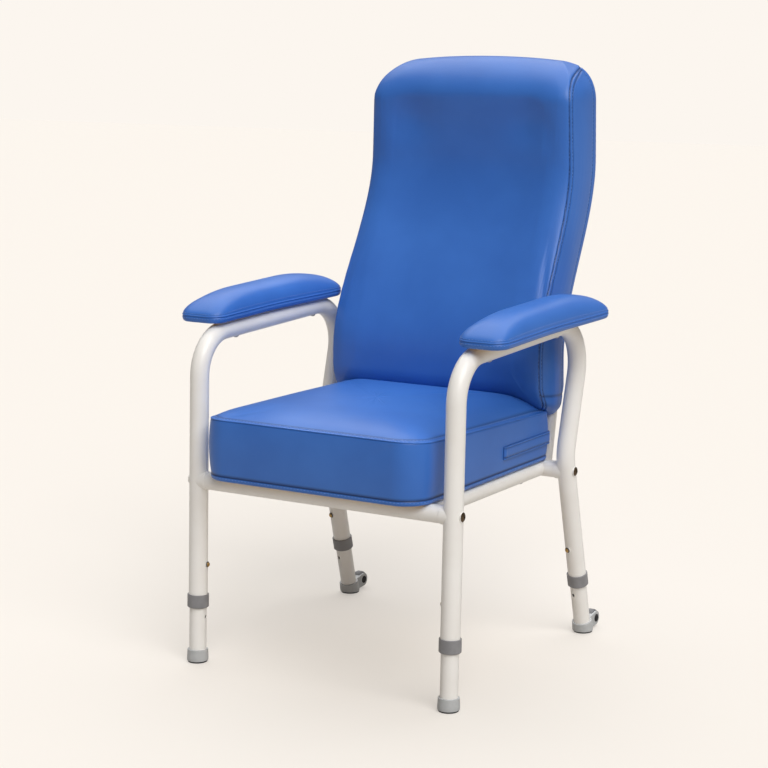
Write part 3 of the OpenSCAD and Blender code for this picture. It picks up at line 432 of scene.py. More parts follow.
# %% Rings of the cushion's side
seat_s = np.arange(560) / 560
under = np.array([
    [8.0, SEAT_BOARD_T + 0.2], [8.0, 0.4], [6.0, 0], [3.0, 0.0], [0.8, 0.8], [-0.4, 2.4],
    [-1.0, 4.4], [-1.3, 6.8], [-1.2, HEM_H - 0.8], [-0.4, HEM_H], [-0.3, HEM_TOP]])
box_share = np.linspace(0, 1, 46)[1:]
box_share = box_share + 0.02 * np.sin(2 * math.pi * box_share)
# The seam's lip: inset, and height above a line 2 mm under the seam
LIP_DROP = 2.0
lip = np.array([[0.7, 0.5], [0.5, 1.2], [-0.5, 1.5], [-1.1, 2.2], [-0.9, 3.1], [0.2, 3.6], [1.4, 3.5], [2.2, 3.4]])

edge_inset = np.concatenate([under[:, 0], -boxing_bulge(box_share), lip[:, 0]])[:, None]
edge_low = np.concatenate([under[:, 1], HEM_TOP * (1 - box_share), lip[:, 1] - LIP_DROP])[:, None]
edge_share = np.concatenate([np.zeros(len(under)), box_share, np.ones(len(lip))])[:, None]
seat_flat, seat_way, seat_round = seat_edge(seat_s[None] + 0 * edge_inset, edge_inset + 0 * seat_s[None])
seat_side = raised(seat_flat, SEAT_BASE + edge_low + edge_share * seam_height(seat_flat[..., 1]))
print("cushion:", round(seat_round), "mm round,", len(seat_side), "rings up its side")

# %% [markdown]
# The top is closed by rings that shrink towards the middle and grow oval as
# they do. The underside is closed round the board.

# %% Rings of the cushion's top and underside
CENTRE_BACK = 10.0
OVAL = 0.7
RIM_SOFT = 7.0

seat_rim = seat_side[-1]
centre = np.array([0, (SEAT_REAR - SEAT_FRONT) / 2 - CENTRE_BACK])
inner = np.concatenate([np.linspace(1, 0.9, 14)[1:], np.linspace(0.9, 0.0, 34)[1:]])[:, None]
oval_turn = np.arctan2(seat_rim[:, 1] - centre[1], seat_rim[:, 0])
oval = np.stack([SEAT_HALF * np.cos(oval_turn), (SEAT_REAR + SEAT_FRONT) / 2 * np.sin(oval_turn)], -1)
blend = OVAL * smooth((1 - inner) / 0.5)[..., None]
top_flat = centre + inner[..., None] * mix(seat_rim[None, :, :2] - centre, oval[None], blend)
x, y = top_flat[..., 0], top_flat[..., 1]
rise = (shoulder(SEAT_HALF - np.abs(x)) * shoulder(y + SEAT_FRONT) * shoulder(SEAT_REAR - y)
        * (1 - np.exp(-(1 - inner) * SEAT_HALF / RIM_SOFT)))
lip_top = lip[-1, 1] - LIP_DROP
seat_top = raised(top_flat, SEAT_BASE + seam_height(y) + lip_top * (1 - rise)
                  + (crown_height(y) - seam_height(y)) * (1.02 * rise + 0.16 * (1 - inner)))

shrunk = np.array([0.0, 0.4, 0.75])[:, None, None]
pocket = raised(shrunk * (seat_side[0, :, :2] - centre) + centre, SEAT_BASE + SEAT_BOARD_T + 0.2)
seat_rings = np.concatenate([pocket, seat_side, seat_top])

# %% [markdown]
# The hem's crease, the groove under the lip and the row of stitches on the
# top panel get painted shade, darker vinyl where shadow falls in them, and
# they hold the cover against the foam. The rear corners are pressed in where
# the posts of the back pass.

# %% Blow up the cushion
FOAM_HOLD = 0.25
POST_X, POST_Y, POST_R = 218.5, 451.5, 11.0
POST_GAP, POST_TOP = 0.7, 150.0

seat_seam_shade, seat_held = np.zeros(len(seat_rings)), np.full(len(seat_rings), FOAM_HOLD)
hem_row, groove_row = len(pocket) + 8, len(pocket) + len(under) + len(box_share)
above_row = groove_row + len(lip) + 2
# Painted shade in the hem's crease, the groove under the lip and the stitch row on the top
seat_seam_shade[hem_row:hem_row + 4] = [0.5, 1.0, 1.0, 0.4]
seat_seam_shade[groove_row - 1:groove_row + 3] = [0.3, 0.8, 0.7, 0.2]
seat_seam_shade[above_row - 1:above_row + 2] = [0.2, 0.55, 0.2]
seat_held[:hem_row + 4] = 1.0
seat_held[groove_row - 3:above_row + 2] = 1.0
seat_rings = seat_rings + blown("seat_cover", seat_rings, seat_held[:, None], (3, 4), 5.0)

for side in SIDES.values():
    off = np.linalg.norm(seat_rings[..., :2] - np.array([side * POST_X, POST_Y]), axis=-1)
    push = np.clip(POST_R + POST_GAP - off, 0, None) * (seat_rings[..., 2] < POST_TOP)
    seat_rings[..., 1] -= push * 1.3
seat_skin = skin("seat_cushion", from_seat(seat_rings), seat_seam_shade[:, None])

# %% [markdown]
# The seam is top-stitched on the boxing and on the top panel. The hem has its
# own row.

# %% Seat stitches
SEAT_PITCH, SEAT_STITCH = 7.0, 4.8
STITCH_IN = 4.2


def seat_line(s, height, share, inset):
    """A line on the cushion's side at shares s of the way round, at a height plus a share of the seam's
    height, and its outward directions."""
    flat, way, _ = seat_edge(s, np.full(len(s), inset))
    line = raised(flat, SEAT_BASE + height + share * seam_height(flat[:, 1]))
    return from_seat(line), tilt(raised(way, 0.0), -SEAT_TILT)


whole = np.linspace(0, 1, 1400)
seat_around = np.append(np.arange(len(seat_s)), 0)
panel_row = len(pocket) + len(seat_side) + np.argmin(np.abs(inner - (1 - STITCH_IN / SEAT_HALF)))
panel_line = from_seat(seat_rings[panel_row][seat_around])
panel_out = np.array([0, 0, 1.0]) + 0.6 * raised(seat_way[0], 0.0)[seat_around]
seat_stitches = stitches("seat_stitches", [
    stitch_row(*seat_line(whole, -3.2, 1.0, -0.2), SEAT_PITCH, SEAT_STITCH, 1.1),
    stitch_row(panel_line, panel_out, SEAT_PITCH, SEAT_STITCH, 1.1, 0.1),
    stitch_row(*seat_line(whole, 6.2, 0.0, -1.25), SEAT_PITCH, 4.6, 0.9)])

# %% [markdown]
# ## The flap over the zip
# The cushion's cover comes off, and its zip runs round the back. A flat strip
# of vinyl, open at its lower edge, covers it from wet and wear. It is a
# section carried along the cushion's outline, on top of the boxing's bulge,
# and it thins out over its last 3 mm at each end.

# %% Zip flap
FLAP_FROM, FLAP_LOW = 255.0, 32.0
FLAP_FULL, FLAP_SINK = 1.35, 0.5
MEAN_SEAM = 100.0
# Section of the strip, clockwise from its lower inner edge: stand-out, height
flap_section = np.array([
    [0.0, 0.4], [2.2, 0.0], [2.9, 0.5], [3.0, 1.5], [2.5, 3.0], [2.1, 3.6], [2.1, 4.3], [2.5, 5.0], [2.6, 8],
    [2.5, 12], [2.4, 17], [2.3, 20.4], [1.9, 21.0], [2.2, 21.8], [2.1, 23.2], [1.2, 24.0], [-0.6, 23.6]])
# How deep in a seam each row of the section lies, painted as shade in the vinyl: the welt at its lower edge, and the
# seam along the top
flap_seam_shade = np.array([0.3, 0, 0, 0, 0.4, 1.0, 1.0, 0.4, 0, 0, 0, 0.3, 0.9, 0.3, 0, 0.4, 1.0])

fine_s = np.linspace(-0.5, 0.5, 4001)
flap_reach = fine_s[seat_edge(fine_s)[0][:, 1] > FLAP_FROM]
flap_s = np.linspace(flap_reach.min(), flap_reach.max(), 420)
flap_out, flap_up = flap_section[:, 0], flap_section[:, 1]
flap_bulge = boxing_bulge((FLAP_LOW + flap_up - HEM_H) / (MEAN_SEAM - HEM_H))
to_end = np.minimum(flap_s - flap_s[0], flap_s[-1] - flap_s)[:, None] * seat_round
thick = 0.35 + 0.65 * smooth(to_end / 3.0) + 0.25 * bell(to_end, 4.0, 2.0)
stand = flap_bulge - FLAP_SINK + FLAP_FULL * flap_out * thick
flap_flat, _, _ = seat_edge(flap_s[:, None] + 0 * stand, -stand)
flap_rings = raised(flap_flat, SEAT_BASE + FLAP_LOW + flap_up)
flap_ends = flap_rings[[0, -1]].mean(1, keepdims=True) + 0 * flap_rings[[0, -1]]
flap_rings = np.concatenate([flap_ends[:1], flap_rings, flap_ends[1:]])
flap_skin = skin("zip_cover", from_seat(flap_rings), flap_seam_shade[None])

# Height above the strip's lower edge, row of its section, and how far the stitches stand out
flap_stitches = stitches("zip_cover_stitches", [
    stitch_row(*seat_line(flap_s[6:-6], FLAP_LOW + height, 0.0, -flap_bulge[row] - out), 6.0, 4.0, 0.9)
    for height, row, out in ((22.0, 13, 2.5), (4.0, 6, 2.4))])

# %% [markdown]
# ## The back
# The back is a tall pad that slips over its frame. One panel of vinyl runs up
# the front and over the top, and two side panels are sewn to it with a
# double-stitched seam. The foam makes a roll along each side and along the
# top, with a hollow between them for the shoulders and the head.

# %% Sizes of the back
BACK_LOW, BACK_TOP, BACK_HALF = 438.0, 1088.0, 230.0
BACK_CORNER, BACK_FOOT = 64.0, 24.0
FACE_FOOT, LEAN, LEAN_FROM, LEAN_LENGTH = 401.0, 137.0, 540.0, 370.0
HEAD, HEAD_FROM, HEAD_LENGTH = 13.0, 1015.0, 75.0
DEPTH_FOOT, DEPTH_TOP = 103.0, 122.0
WIDTH_FOOT, WIDTH_TOP = 460.0, 426.0


def up_back(z):
    """Share of the way up the back at a height."""
    return (z - BACK_LOW) / (BACK_TOP - BACK_LOW)


def head(z):
    """How far the front of the head is set back at a height, which also makes the head thinner."""
    return HEAD * smooth((z - HEAD_FROM) / HEAD_LENGTH)


def back_face(z):
    """Distance back of the front seam at a height: it leans back between the seat and the head."""
    return FACE_FOOT + LEAN * smooth((z - LEAN_FROM) / LEAN_LENGTH) + head(z)


def back_depth(z):
    """Thickness of the back at a height, thinner over the top."""
    return mix(DEPTH_FOOT, DEPTH_TOP, up_back(z)) - head(z)


def back_half(z):
    """Half the width between the side seams at a height."""
    return mix(WIDTH_FOOT, WIDTH_TOP, up_back(z)) / 2


def back_outline(s):
    """Outline of the back, as outline gives it, with round top corners."""
    return outline(s, (-BACK_HALF, BACK_LOW), (BACK_HALF, BACK_TOP), BACK_FOOT, BACK_CORNER)


# %% [markdown]
# The foam's fullness is made of soft bells: a roll along each side and along
# the top, and a hollow inside each top corner. Front and rear fold over to
# meet at the crest, and the front's foot runs back over the cushion.

# %% Fullness of the back
FOLD, FOLD_REAR, FOLD_SHARE = 66.0, 34.0, 0.64
RISE_REACH = 30.0
RIM_RISE, PLUMP, PLUMP_FOOT, PLUMP_FROM, PLUMP_LENGTH = 1.5, 11.0, 0.45, 440.0, 140.0
ROLL_SIDE = (36.0, 62.0)
ROLL_TOP, ROLL_TOP_SHARE = (60.0, 48.0), 0.75
HOLLOW, HOLLOW_SIDE, HOLLOW_TOP = 10.0, (90.0, 50.0), (104.0, 48.0)
UNDER, UNDER_FROM, UNDER_LENGTH = 55.0, 506.0, 76.0
UNDER_REAR, UNDER_REAR_FROM, UNDER_REAR_LENGTH = 18.0, 488.0, 49.0
REAR_PLUMP = 7.0
ARCH = 12.0
CREST, CREST_LENGTH = 7.0, 70.0


def back_rise(gap):
    """Rise of the stuffed front from its seam, 0 to 1, over the first 30 mm: (1 - u^2.3)^(1 / 1.5),
    with u falling from 1 at the seam to 0."""
    return (1 - (1 - np.clip(gap / RISE_REACH, 0, 1)) ** 2.3) ** (1 / 1.5)


def folding(z, height):
    """1 below the crest's fold, falling over its height to 0 at the top as sqrt(1 - u^2)."""
    return np.sqrt(1 - np.clip((z - BACK_TOP + height) / height, 0, 1) ** 2)


def back_place(x, z, share, gap):
    """A point of the back from its place in the outline, its share of the way from rear to front and its
    distance from the seam. Front and rear meet at the crest: of the depth there, the front moves by
    0.64 (1 - folding) and the rear by 0.36 (1 - folding)."""
    keep, keep_rear = folding(z, FOLD), folding(z, FOLD_REAR)
    depth, face = back_depth(z), back_face(z)
    side_gap, top_gap = BACK_HALF - np.abs(x), BACK_TOP - z
    roll = 1 - (1 - bell(side_gap, *ROLL_SIDE)) * (1 - ROLL_TOP_SHARE * bell(top_gap, *ROLL_TOP))
    plump = RIM_RISE + PLUMP * roll * mix(PLUMP_FOOT, 1.0, smooth((z - PLUMP_FROM) / PLUMP_LENGTH))
    hollow = HOLLOW * bell(side_gap, *HOLLOW_SIDE) * bell(top_gap, *HOLLOW_TOP)
    under_front = UNDER * np.clip((UNDER_FROM - z) / UNDER_LENGTH, 0, 1) ** 2
    under_rear = UNDER_REAR * np.clip((UNDER_REAR_FROM - z) / UNDER_REAR_LENGTH, 0, 1)
    front = face + FOLD_SHARE * depth * (1 - keep) + under_front + back_rise(gap) * (hollow - plump * keep)
    rear = (face + depth - (1 - FOLD_SHARE) * depth * (1 - keep_rear) - under_rear
            + REAR_PLUMP * back_rise(gap * 0.5) * keep_rear)
    arch = ARCH * smooth(up_back(z)) * (1 - np.minimum((x / BACK_HALF) ** 2, 1))
    crest = CREST * smooth((z - BACK_TOP + CREST_LENGTH) / CREST_LENGTH) * (1 - 0.5 * (x / BACK_HALF) ** 4)
    return np.stack([x * back_half(z + arch) / BACK_HALF, mix(rear, front, share) + MID_SHIFT, z + arch + crest], -1)


# %% [markdown]
# The side of the back is a profile carried round its outline, from the rear
# panel to the front one. The side panels are fuller than the panel over the
# top, so there the outward parts of the profile are left out. Points lie
# closer together at the two top corners, where the seam turns. Rings that
# shrink to the middle close both panels.

# %% Rings of the back
# Rows from rear to front: inset, share of the way, lift of the lower edge
EDGE_TABLE = [
    [20, 0, 0], [15, 0, 0], [10, 0, 0], [6, 0, 0], [3, 0.01, 0], [1.2, 0.035, 0],
    [-2.4, 0.11, 0], [-5.4, 0.22, 1], [-7.4, 0.36, 2], [-8.2, 0.51, 4], [-7.6, 0.65, 5], [-5.8, 0.79, 7],
    [-3.6, 0.9, 9], [-1.6, 0.96, 11], [0.2, 0.992, 11], [1.2, 1, 12], [3, 1, 12], [6, 1, 12],
    [10, 1, 13], [15, 1, 13], [20, 1, 13]]
LIFT_TO, LIFT_LENGTH = 560.0, 130.0
BACK_ROUND, BACK_EDGE = 560, 92
CROWD, CROWD_REACH = 2.2, 0.024
PANEL_MIDDLE, RIM_GAP = (BACK_LOW + BACK_TOP) / 2 + 10, 20.0

_, _, back_round = back_outline(np.array([0.0]))
corner_s = (BACK_HALF - BACK_CORNER) / back_round
turn_s = corner_s + BACK_CORNER * math.pi / 2 / back_round
fine_s = np.linspace(0, 1, 4001)
corner_gap = np.minimum(np.abs(fine_s - (corner_s + turn_s) / 2), np.abs(1 - fine_s - (corner_s + turn_s) / 2))
crowd = np.cumsum(1 + CROWD * np.exp(-(corner_gap / CROWD_REACH) ** 4))
back_s = np.interp(np.arange(BACK_ROUND) / BACK_ROUND, (crowd - crowd[0]) / (crowd[-1] - crowd[0]), fine_s)

edge_rows = spread(EDGE_TABLE, BACK_EDGE)
inset, share, lift = (edge_rows[:, q][:, None] for q in range(3))
flat, way, _ = back_outline(back_s[None] + 0 * inset)
over_top = smooth((way[..., 1] - 0.25) / 0.7)
flat = flat - way * (inset * np.where(inset < 0, 1 - over_top, 1))[..., None]
x, z = flat[..., 0], flat[..., 1]
z = z + lift * smooth((LIFT_TO - z) / LIFT_LENGTH)
edge_rings = back_place(x, z, share, np.maximum(inset, 0))


def back_panel(x, z, sizes, share):
    """Rings that close a face of the back, its rim (x, z) made smaller by each of the sizes."""
    t = sizes[:, None]
    return back_place(x * t, mix(PANEL_MIDDLE, z, t), share, RIM_GAP + (1 - t) * BACK_HALF)


sizes = np.concatenate([np.linspace(1, 0.8, 16)[1:], np.linspace(0.8, 0, 30)[1:]])
rear_face = back_panel(x[0], z[0], np.linspace(0, 1, 24)[:-1], 0.0)
front_face = back_panel(x[-1], z[-1], sizes, 1.0)
back_rings = np.concatenate([rear_face, edge_rings, front_face])
print("back:", round(back_round), "mm round,", len(back_rings), "rings of", BACK_ROUND, "points")

# %% [markdown]
# The seams of the side panels and the foot are held, and so are the flat rear
# panel and the front panel on its foam.

# %% Blow up the back
SEAM_ROW, BESIDE_ROW, REAR_ROW, REAR_BESIDE_ROW = 65, 57, 22, 31

edge_first = len(rear_face)
front_first = edge_first + BACK_EDGE
low_s = turn_s + (BACK_TOP - BACK_CORNER - BACK_LOW - BACK_FOOT) / back_round
back_held = np.full(back_rings.shape[:2], FOAM_HOLD)
back_held[front_first + 12:] = 1.0
back_held[:edge_first] = 1.0
back_sides = (back_s > turn_s) & (back_s < 1 - turn_s)
for row in (SEAM_ROW, REAR_ROW):
    back_held[edge_first + row - 3:edge_first + row + 4, back_sides] = 1.0
back_held[:, np.abs(back_s - 0.5) < 0.5 - low_s] = 1.0
back_rings = back_rings + blown("back_cover", back_rings, back_held, (4, 4), 4.0)

# %% [markdown]
# The seam runs up each side at the front edge, and at the top corner it turns
# over the shoulder towards the rear, with a second one beside it on the side
# panel. At the corner both cross the rings, so they are pressed into the
# finished skin: every point near a line moves in.

# %% Seam lines of the back
def ring_pick(s, row):
    """A line on the back's edge at shares s round the outline and rows from the rear face to the front."""
    k = np.clip(row.astype(int), 0, BACK_EDGE - 2)
    at = np.interp(np.mod(s, 1), np.append(back_s, 1), np.arange(BACK_ROUND + 1))
    a = at.astype(int) % BACK_ROUND
    b = (a + 1) % BACK_ROUND
    g = (at - np.floor(at))[:, None]
    low, high = (mix(back_rings[edge_first + r, a], back_rings[edge_first + r, b], g) for r in (k, k + 1))
    return mix(low, high, (row - k)[:, None])


def back_seam(front_row, rear_row, reach):
    """Seam lines of both sides: up the front edge on front_row, over the top corner by reach, and down the
    rear edge on rear_row."""
    up_s, over = np.linspace(low_s + 0.012, turn_s, 240), np.linspace(0, 1, 90)[1:]
    over_s = mix(turn_s, mix(turn_s, corner_s, reach), np.sin(over * math.pi / 2))
    over_row = mix(front_row, rear_row, smooth((over - 0.15) / 0.85))
    down_s = np.linspace(over_s[-1], low_s + 0.012, 240)[1:]
    seam_s = np.concatenate([up_s, over_s, down_s])
    seam_row = np.concatenate([front_row + 0 * up_s, over_row, rear_row + 0 * down_s])
    return {"left": ring_pick(seam_s, seam_row), "right": ring_pick(-seam_s, seam_row)}


def seam_out(line):
    """The outward directions of the skin along a line that lies on it, from its nearest points."""
    nearest = np.array([np.argmin(((skin_points - p) ** 2).sum(1)) for p in line[::3]])
    at = np.linspace(0, len(nearest) - 1, len(line))
    return np.stack([np.interp(at, np.arange(len(nearest)), skin_out[nearest, q]) for q in range(3)], -1)


seam_lines = back_seam(SEAM_ROW, REAR_ROW, 0.66)
beside_lines = back_seam(BESIDE_ROW, REAR_BESIDE_ROW, 0.57)
# The left side's outward directions point left
back_out = outward(back_rings)
back_out = back_out * -np.sign(back_out[edge_first + 40, 200, 0])
skin_points, skin_out = back_rings.reshape(-1, 3), back_out.reshape(-1, 3)
print("back seam:", round(np.linalg.norm(np.diff(seam_lines["left"], axis=0), axis=1).sum()), "mm each side")

# %% [markdown]
# Around the seams the vinyl stands a little proud. Two hem lines run across
# the foot of each side panel, where the cover is folded under.

# %% Press the seams into the back
SEAM_DEPTH, SEAM_REACH = 3.0, 1.7
BESIDE_DEPTH, BESIDE_REACH = 2.2, 1.5
PROUD, PROUD_REACH = 1.8, 12.0
# Each hem line's share of the way round past the lower corner, its depth and its painted shade
HEM_LINES = [(-0.006, 2.2, 0.9), (0.004, 1.8, 0.8)]
HEM_REACH, HEM_PROUD, HEM_PROUD_REACH = 1.8, 0.8, 6.0
HEM_ROWS = (23.66, 66.82)

# pressed sinks the seams and hems; back_seam_shade is the painted shade in their grooves
back_stitch_rows, pressed, back_seam_shade = [], 0.0, 0.0
for name, side in SIDES.items():
    for line, depth, reach in ((seam_lines[name], SEAM_DEPTH, SEAM_REACH),
                               (beside_lines[name], BESIDE_DEPTH, BESIDE_REACH)):
        out = seam_out(line)
        back_stitch_rows.append(stitch_row(line - out * 0.5 * depth, out, 7.0, 4.6, 1.3, 0.2))
        close = near(back_rings, line, reach)
        pressed, back_seam_shade = pressed + depth * close, back_seam_shade + close
    pressed = pressed - PROUD * near(back_rings, seam_lines[name], PROUD_REACH)
    for at, depth, shade in HEM_LINES:
        across = np.linspace(*HEM_ROWS, 120)
        line = ring_pick(np.full(len(across), -side * (low_s + at)), across)
        close = near(back_rings, line, HEM_REACH)
        pressed = pressed + depth * close - HEM_PROUD * near(back_rings, line, HEM_PROUD_REACH)
        back_seam_shade = back_seam_shade + shade * close
back_rings = back_rings - back_out * np.clip(pressed, -1.5, 2.0)[..., None]
back_skin = skin("back_cushion", back_rings, back_seam_shade)
back_stitches = stitches("back_stitches", back_stitch_rows)

# %% [markdown]
# ## The arm pads
# Each arm pad is a moulded foam loaf on a plywood board, wrapped in vinyl.
# The cover has a top panel and a low border, sewn together a finger's breadth
# above the board. The top's rings run from the border to a spine.

# %% Sizes and curves of an arm pad
PAD_HALF, PAD_LEN, PAD_H = 47.0, 446.0, 51.0
PAD_R_FRONT, PAD_R_REAR = 28.0, 45.0
PAD_BOARD_T = 9.0
SPINE_END = 60.0
FRONT_SLOPE, FRONT_DROP, REAR_SLOPE, REAR_DROP = 130.0, 0.6, 170.0, 0.75
FLARE_FROM, FLARE, FLARE_DROP = 150.0, 0.09, 5.0
# Border of the pad, from the board up to the seam's lip: inset, height
PAD_BORDER = np.array([
    [12.0, PAD_BOARD_T + 0.2], [12.0, 0.4], [9.0, 0.0], [5, 0], [2.6, 0.5], [1.0, 1.7], [0.0, 3.6], [-0.5, 6],
    [-0.6, 8], [-0.3, 9.6], [0.3, 10.4], [0.6, 10.9], [0.4, 11.5], [-0.3, 11.8], [-0.8, 12.4],
    [-0.7, 13.3], [0.0, 13.9], [0.6, 14.3]])
PAD_RIM = PAD_BORDER[-1, 1]


def loaf(t, y):
    """Height of the arm pad's top, 0 to 1: (1 - t^2.6)^(1 / 1.9) with t from the spine to the rim, lowered
    towards each end by a share of the squared way."""
    front = np.clip((FRONT_SLOPE - y) / FRONT_SLOPE, 0, 1)
    rear = np.clip((y - PAD_LEN + REAR_SLOPE) / REAR_SLOPE, 0, 1)
    return (1 - t**2.6) ** (1 / 1.9) * (1 - FRONT_DROP * front**2) * (1 - REAR_DROP * rear**2)


# %% [markdown]
# Towards the rear the pad widens and its edges drop, which gives the elbow a
# broader rest.

# %% Arm pads
pad_s = np.arange(420) / 420
pad_around = np.append(np.arange(len(pad_s)), 0)
pad_flat, pad_way, _ = outline(pad_s[None] + 0 * PAD_BORDER[:, :1], (-PAD_HALF, 0), (PAD_HALF, PAD_LEN),
                               PAD_R_FRONT, PAD_R_REAR)
pad_side = raised(pad_flat - pad_way * PAD_BORDER[:, :1, None], PAD_BORDER[:, 1:])
pad_t = np.sin(np.linspace(math.pi / 2, 0, 44))[1:, None]
pad_edge = pad_side[-1]
spine_y = PAD_LEN / 2 + (PAD_LEN / 2 - SPINE_END) * np.sin((pad_edge[:, 1] / PAD_LEN - 0.5) * math.pi)
spine = np.stack([0 * spine_y, spine_y], -1)
pad_inner = mix(spine[None], pad_edge[None, :, :2], pad_t[..., None])
pad_top = raised(pad_inner, PAD_RIM + (PAD_H - PAD_RIM) * loaf(pad_t, pad_inner[..., 1]))
pad_rings = np.concatenate([raised(spine, PAD_BOARD_T + 0.2)[None], pad_side, pad_top])
rearward = smooth((pad_rings[..., 1] - FLARE_FROM) / (PAD_LEN - FLARE_FROM))
pad_rings[..., 2] -= FLARE_DROP * (pad_rings[..., 0] / PAD_HALF) ** 2 * rearward
pad_rings[..., 0] *= 1 + FLARE * rearward

pad_held = np.full(len(pad_rings), 0.7)
pad_held[:len(PAD_BORDER) + 2] = 1.0
pad_rings = pad_rings + blown("arm_cover", pad_rings, pad_held[:, None], (2, 3), 3.0)
pad_out = raised(pad_way[0], 0.0)[pad_around]
arm_skins, arm_stitches = {}, {}
for name, side in SIDES.items():
    arm_skins[name] = skin(f"arm_cushion_{name}", from_arm(pad_rings, side), 0.0)
    # One row on the border and one on the top panel
    lines = [from_arm(pad_rings[ring][pad_around] + 0.2 * pad_out, side) for ring in (9, 22)]
    arm_stitches[name] = stitches(
        f"arm_stitches_{name}", [stitch_row(line, tilt(pad_out, ARM_RISE), 6.0, 4.2, 0.9) for line in lines])

# %% [markdown]
# ## Finishes
# Each finish starts from the real material. Colours are written as on a
# colour card, and one function turns them into the linear light that the
# shader works with.

# %% Colours and a node helper
def colour(code):
    """Linear light of an sRGB colour such as 3F6DB5: each channel c becomes ((c + 0.055) / 1.055) ** 2.4."""
    channels = [int(code[k:k + 2], 16) / 255 for k in (0, 2, 4)]
    return [c / 12.92 if c <= 0.04045 else ((c + 0.055) / 1.055) ** 2.4 for c in channels] + [1.0]


def node(tree, kind, settings=None, **links):
    """Adds a node and sets its properties and sockets from settings. Each link names the socket it goes
    to, with _ for a space, or gives its number after a _."""
    made = tree.nodes.new(kind)
    for key, value in (settings or {}).items():
        if isinstance(key, str) and hasattr(made, key):
            setattr(made, key, value)
        else:
            made.inputs[key].default_value = value
    for key, source in links.items():
        title = key.replace("_", " ")
        tree.links.new(source, made.inputs[title if title in made.inputs else int(key[1:])])
    return made


def finish(name, base, rough, looks):
    """A new material with its shader, whose sockets named in looks are set too; returns the material, its
    tree and the shader."""
    made = bpy.data.materials.new(name)
    made.use_nodes = True
    shader = made.node_tree.nodes["Principled BSDF"]
    for key, value in {"Base Color": colour(base), "Roughness": rough, **looks}.items():
        shader.inputs[key].default_value = value
    return made, made.node_tree, shader


def grain(tree, shader, kind, size_mm, depth_mm, strength, detail=2.0):
    """Relief on a surface: a pattern whose cells are size_mm across and depth_mm deep. Returns the node
    that gives the place on the surface."""
    place = node(tree, "ShaderNodeTexCoord")
    scale = 1000.0 / size_mm
    if kind == "pebble":
        cells = node(tree, "ShaderNodeTexVoronoi", {"feature": "SMOOTH_F1", "Scale": scale, "Smoothness": 0.4},
                     Vector=place.outputs["Object"]).outputs["Distance"]
    else:
        cells = node(tree, "ShaderNodeTexNoise", {"Scale": scale, "Detail": detail, "Roughness": 0.5},
                     Vector=place.outputs["Object"]).outputs["Fac"]
    bump = node(tree, "ShaderNodeBump", {"Strength": strength, "Distance": depth_mm * MM}, Height=cells)
    tree.links.new(bump.outputs["Normal"], shader.inputs["Normal"])
    return place


def two_tones(tree, shader, source, low, high, base, other):
    """Colours the surface from base, where the source's value is low, to other, where it is high."""
    ramp = node(tree, "ShaderNodeValToRGB", {}, Fac=source)
    ends = ramp.color_ramp.elements
    ends[0].position, ends[1].position = low, high
    ends[0].color, ends[1].color = colour(base), colour(other)
    tree.links.new(ramp.outputs["Color"], shader.inputs["Base Color"])
    return ramp


def toned(name, base, rough, relief, tones, patch_mm, looks):
    """A finish with a relief, given as kind, size, depth and strength, and two tones in soft patches
    patch_mm across. Returns the material, its tree, its shader and the ramp of its tones."""
    made, tree, shader = finish(name, base, rough, looks)
    place = grain(tree, shader, *relief)
    patch = node(tree, "ShaderNodeTexNoise", {"Scale": 1000.0 / patch_mm, "Detail": 3.0, "Roughness": 0.55},
                 Vector=place.outputs["Object"])
    ramp = two_tones(tree, shader, patch.outputs["Fac"], 0.35, 0.65, *tones)
    print(name)
    return made, tree, shader, ramp


# %% [markdown]
# ** Upholstery vinyl** is PVC calendered on to a knitted cloth and embossed
# with a fine pebble grain, with a clear wipe-down topcoat. The grain is under
# a millimetre and would not show from here, so it is drawn about twice as
# coarse. In a seam the vinyl is mixed with a dark blue by the depth that the
# skin carries: painted shade for the shadow in the seam's groove. The
# **thread** is polyester, a little lighter than the vinyl.

# %% Upholstery vinyl and thread
vinyl, tree, shader, ramp = toned("upholstery_vinyl_blue", "3970C5", 0.4, ("pebble", 2.2, 0.16, 0.55),
                                  ("376DC1", "3C74C9"), 140.0, {"IOR": 1.45})
seam_shade_in = node(tree, "ShaderNodeAttribute", {"attribute_name": "seam"})
shade = node(tree, "ShaderNodeMix", {"data_type": "RGBA", "blend_type": "MIX"}, Factor=seam_shade_in.outputs["Fac"])
# The mix node's two colour inputs are its sockets 6 and 7, and its colour output is socket 2
tree.links.new(ramp.outputs["Color"], shade.inputs[6])
# 142F5E is the painted shade of the seams' grooves, mixed in by the seam depth
shade.inputs[7].default_value = colour("142F5E")
tree.links.new(shade.outputs[2], shader.inputs["Base Color"])

thread = toned("polyester_thread_blue", "5E8AD6", 0.55, ("noise", 1.2, 0.1, 0.5),
               ("5580CC", "6C97E0"), 3.0, {"Sheen Weight": 0.2})[0]

# %% [markdown]
# **Powder coat** is polyester dust melted on to the steel tube in an oven. It
# is opaque and even, satin in gloss, with a faint orange-peel relief.

# %% Powder-coated steel
coat = toned("powder_coated_steel_cream", "F7F3EE", 0.36, ("noise", 4.0, 0.08, 0.35, 1.0),
             ("F5F1EB", "F9F6F1"), 90.0, {"Coat Weight": 0.12, "Coat Roughness": 0.18})[0]

# %% [markdown]
# **Moulded plastics** carry the spark-eroded texture of their mould: the
# collars and wheels a mid grey polypropylene, the feet a lighter grey nylon,
# the lock rings a white one. **Rubber** soles are black and dull with dust.

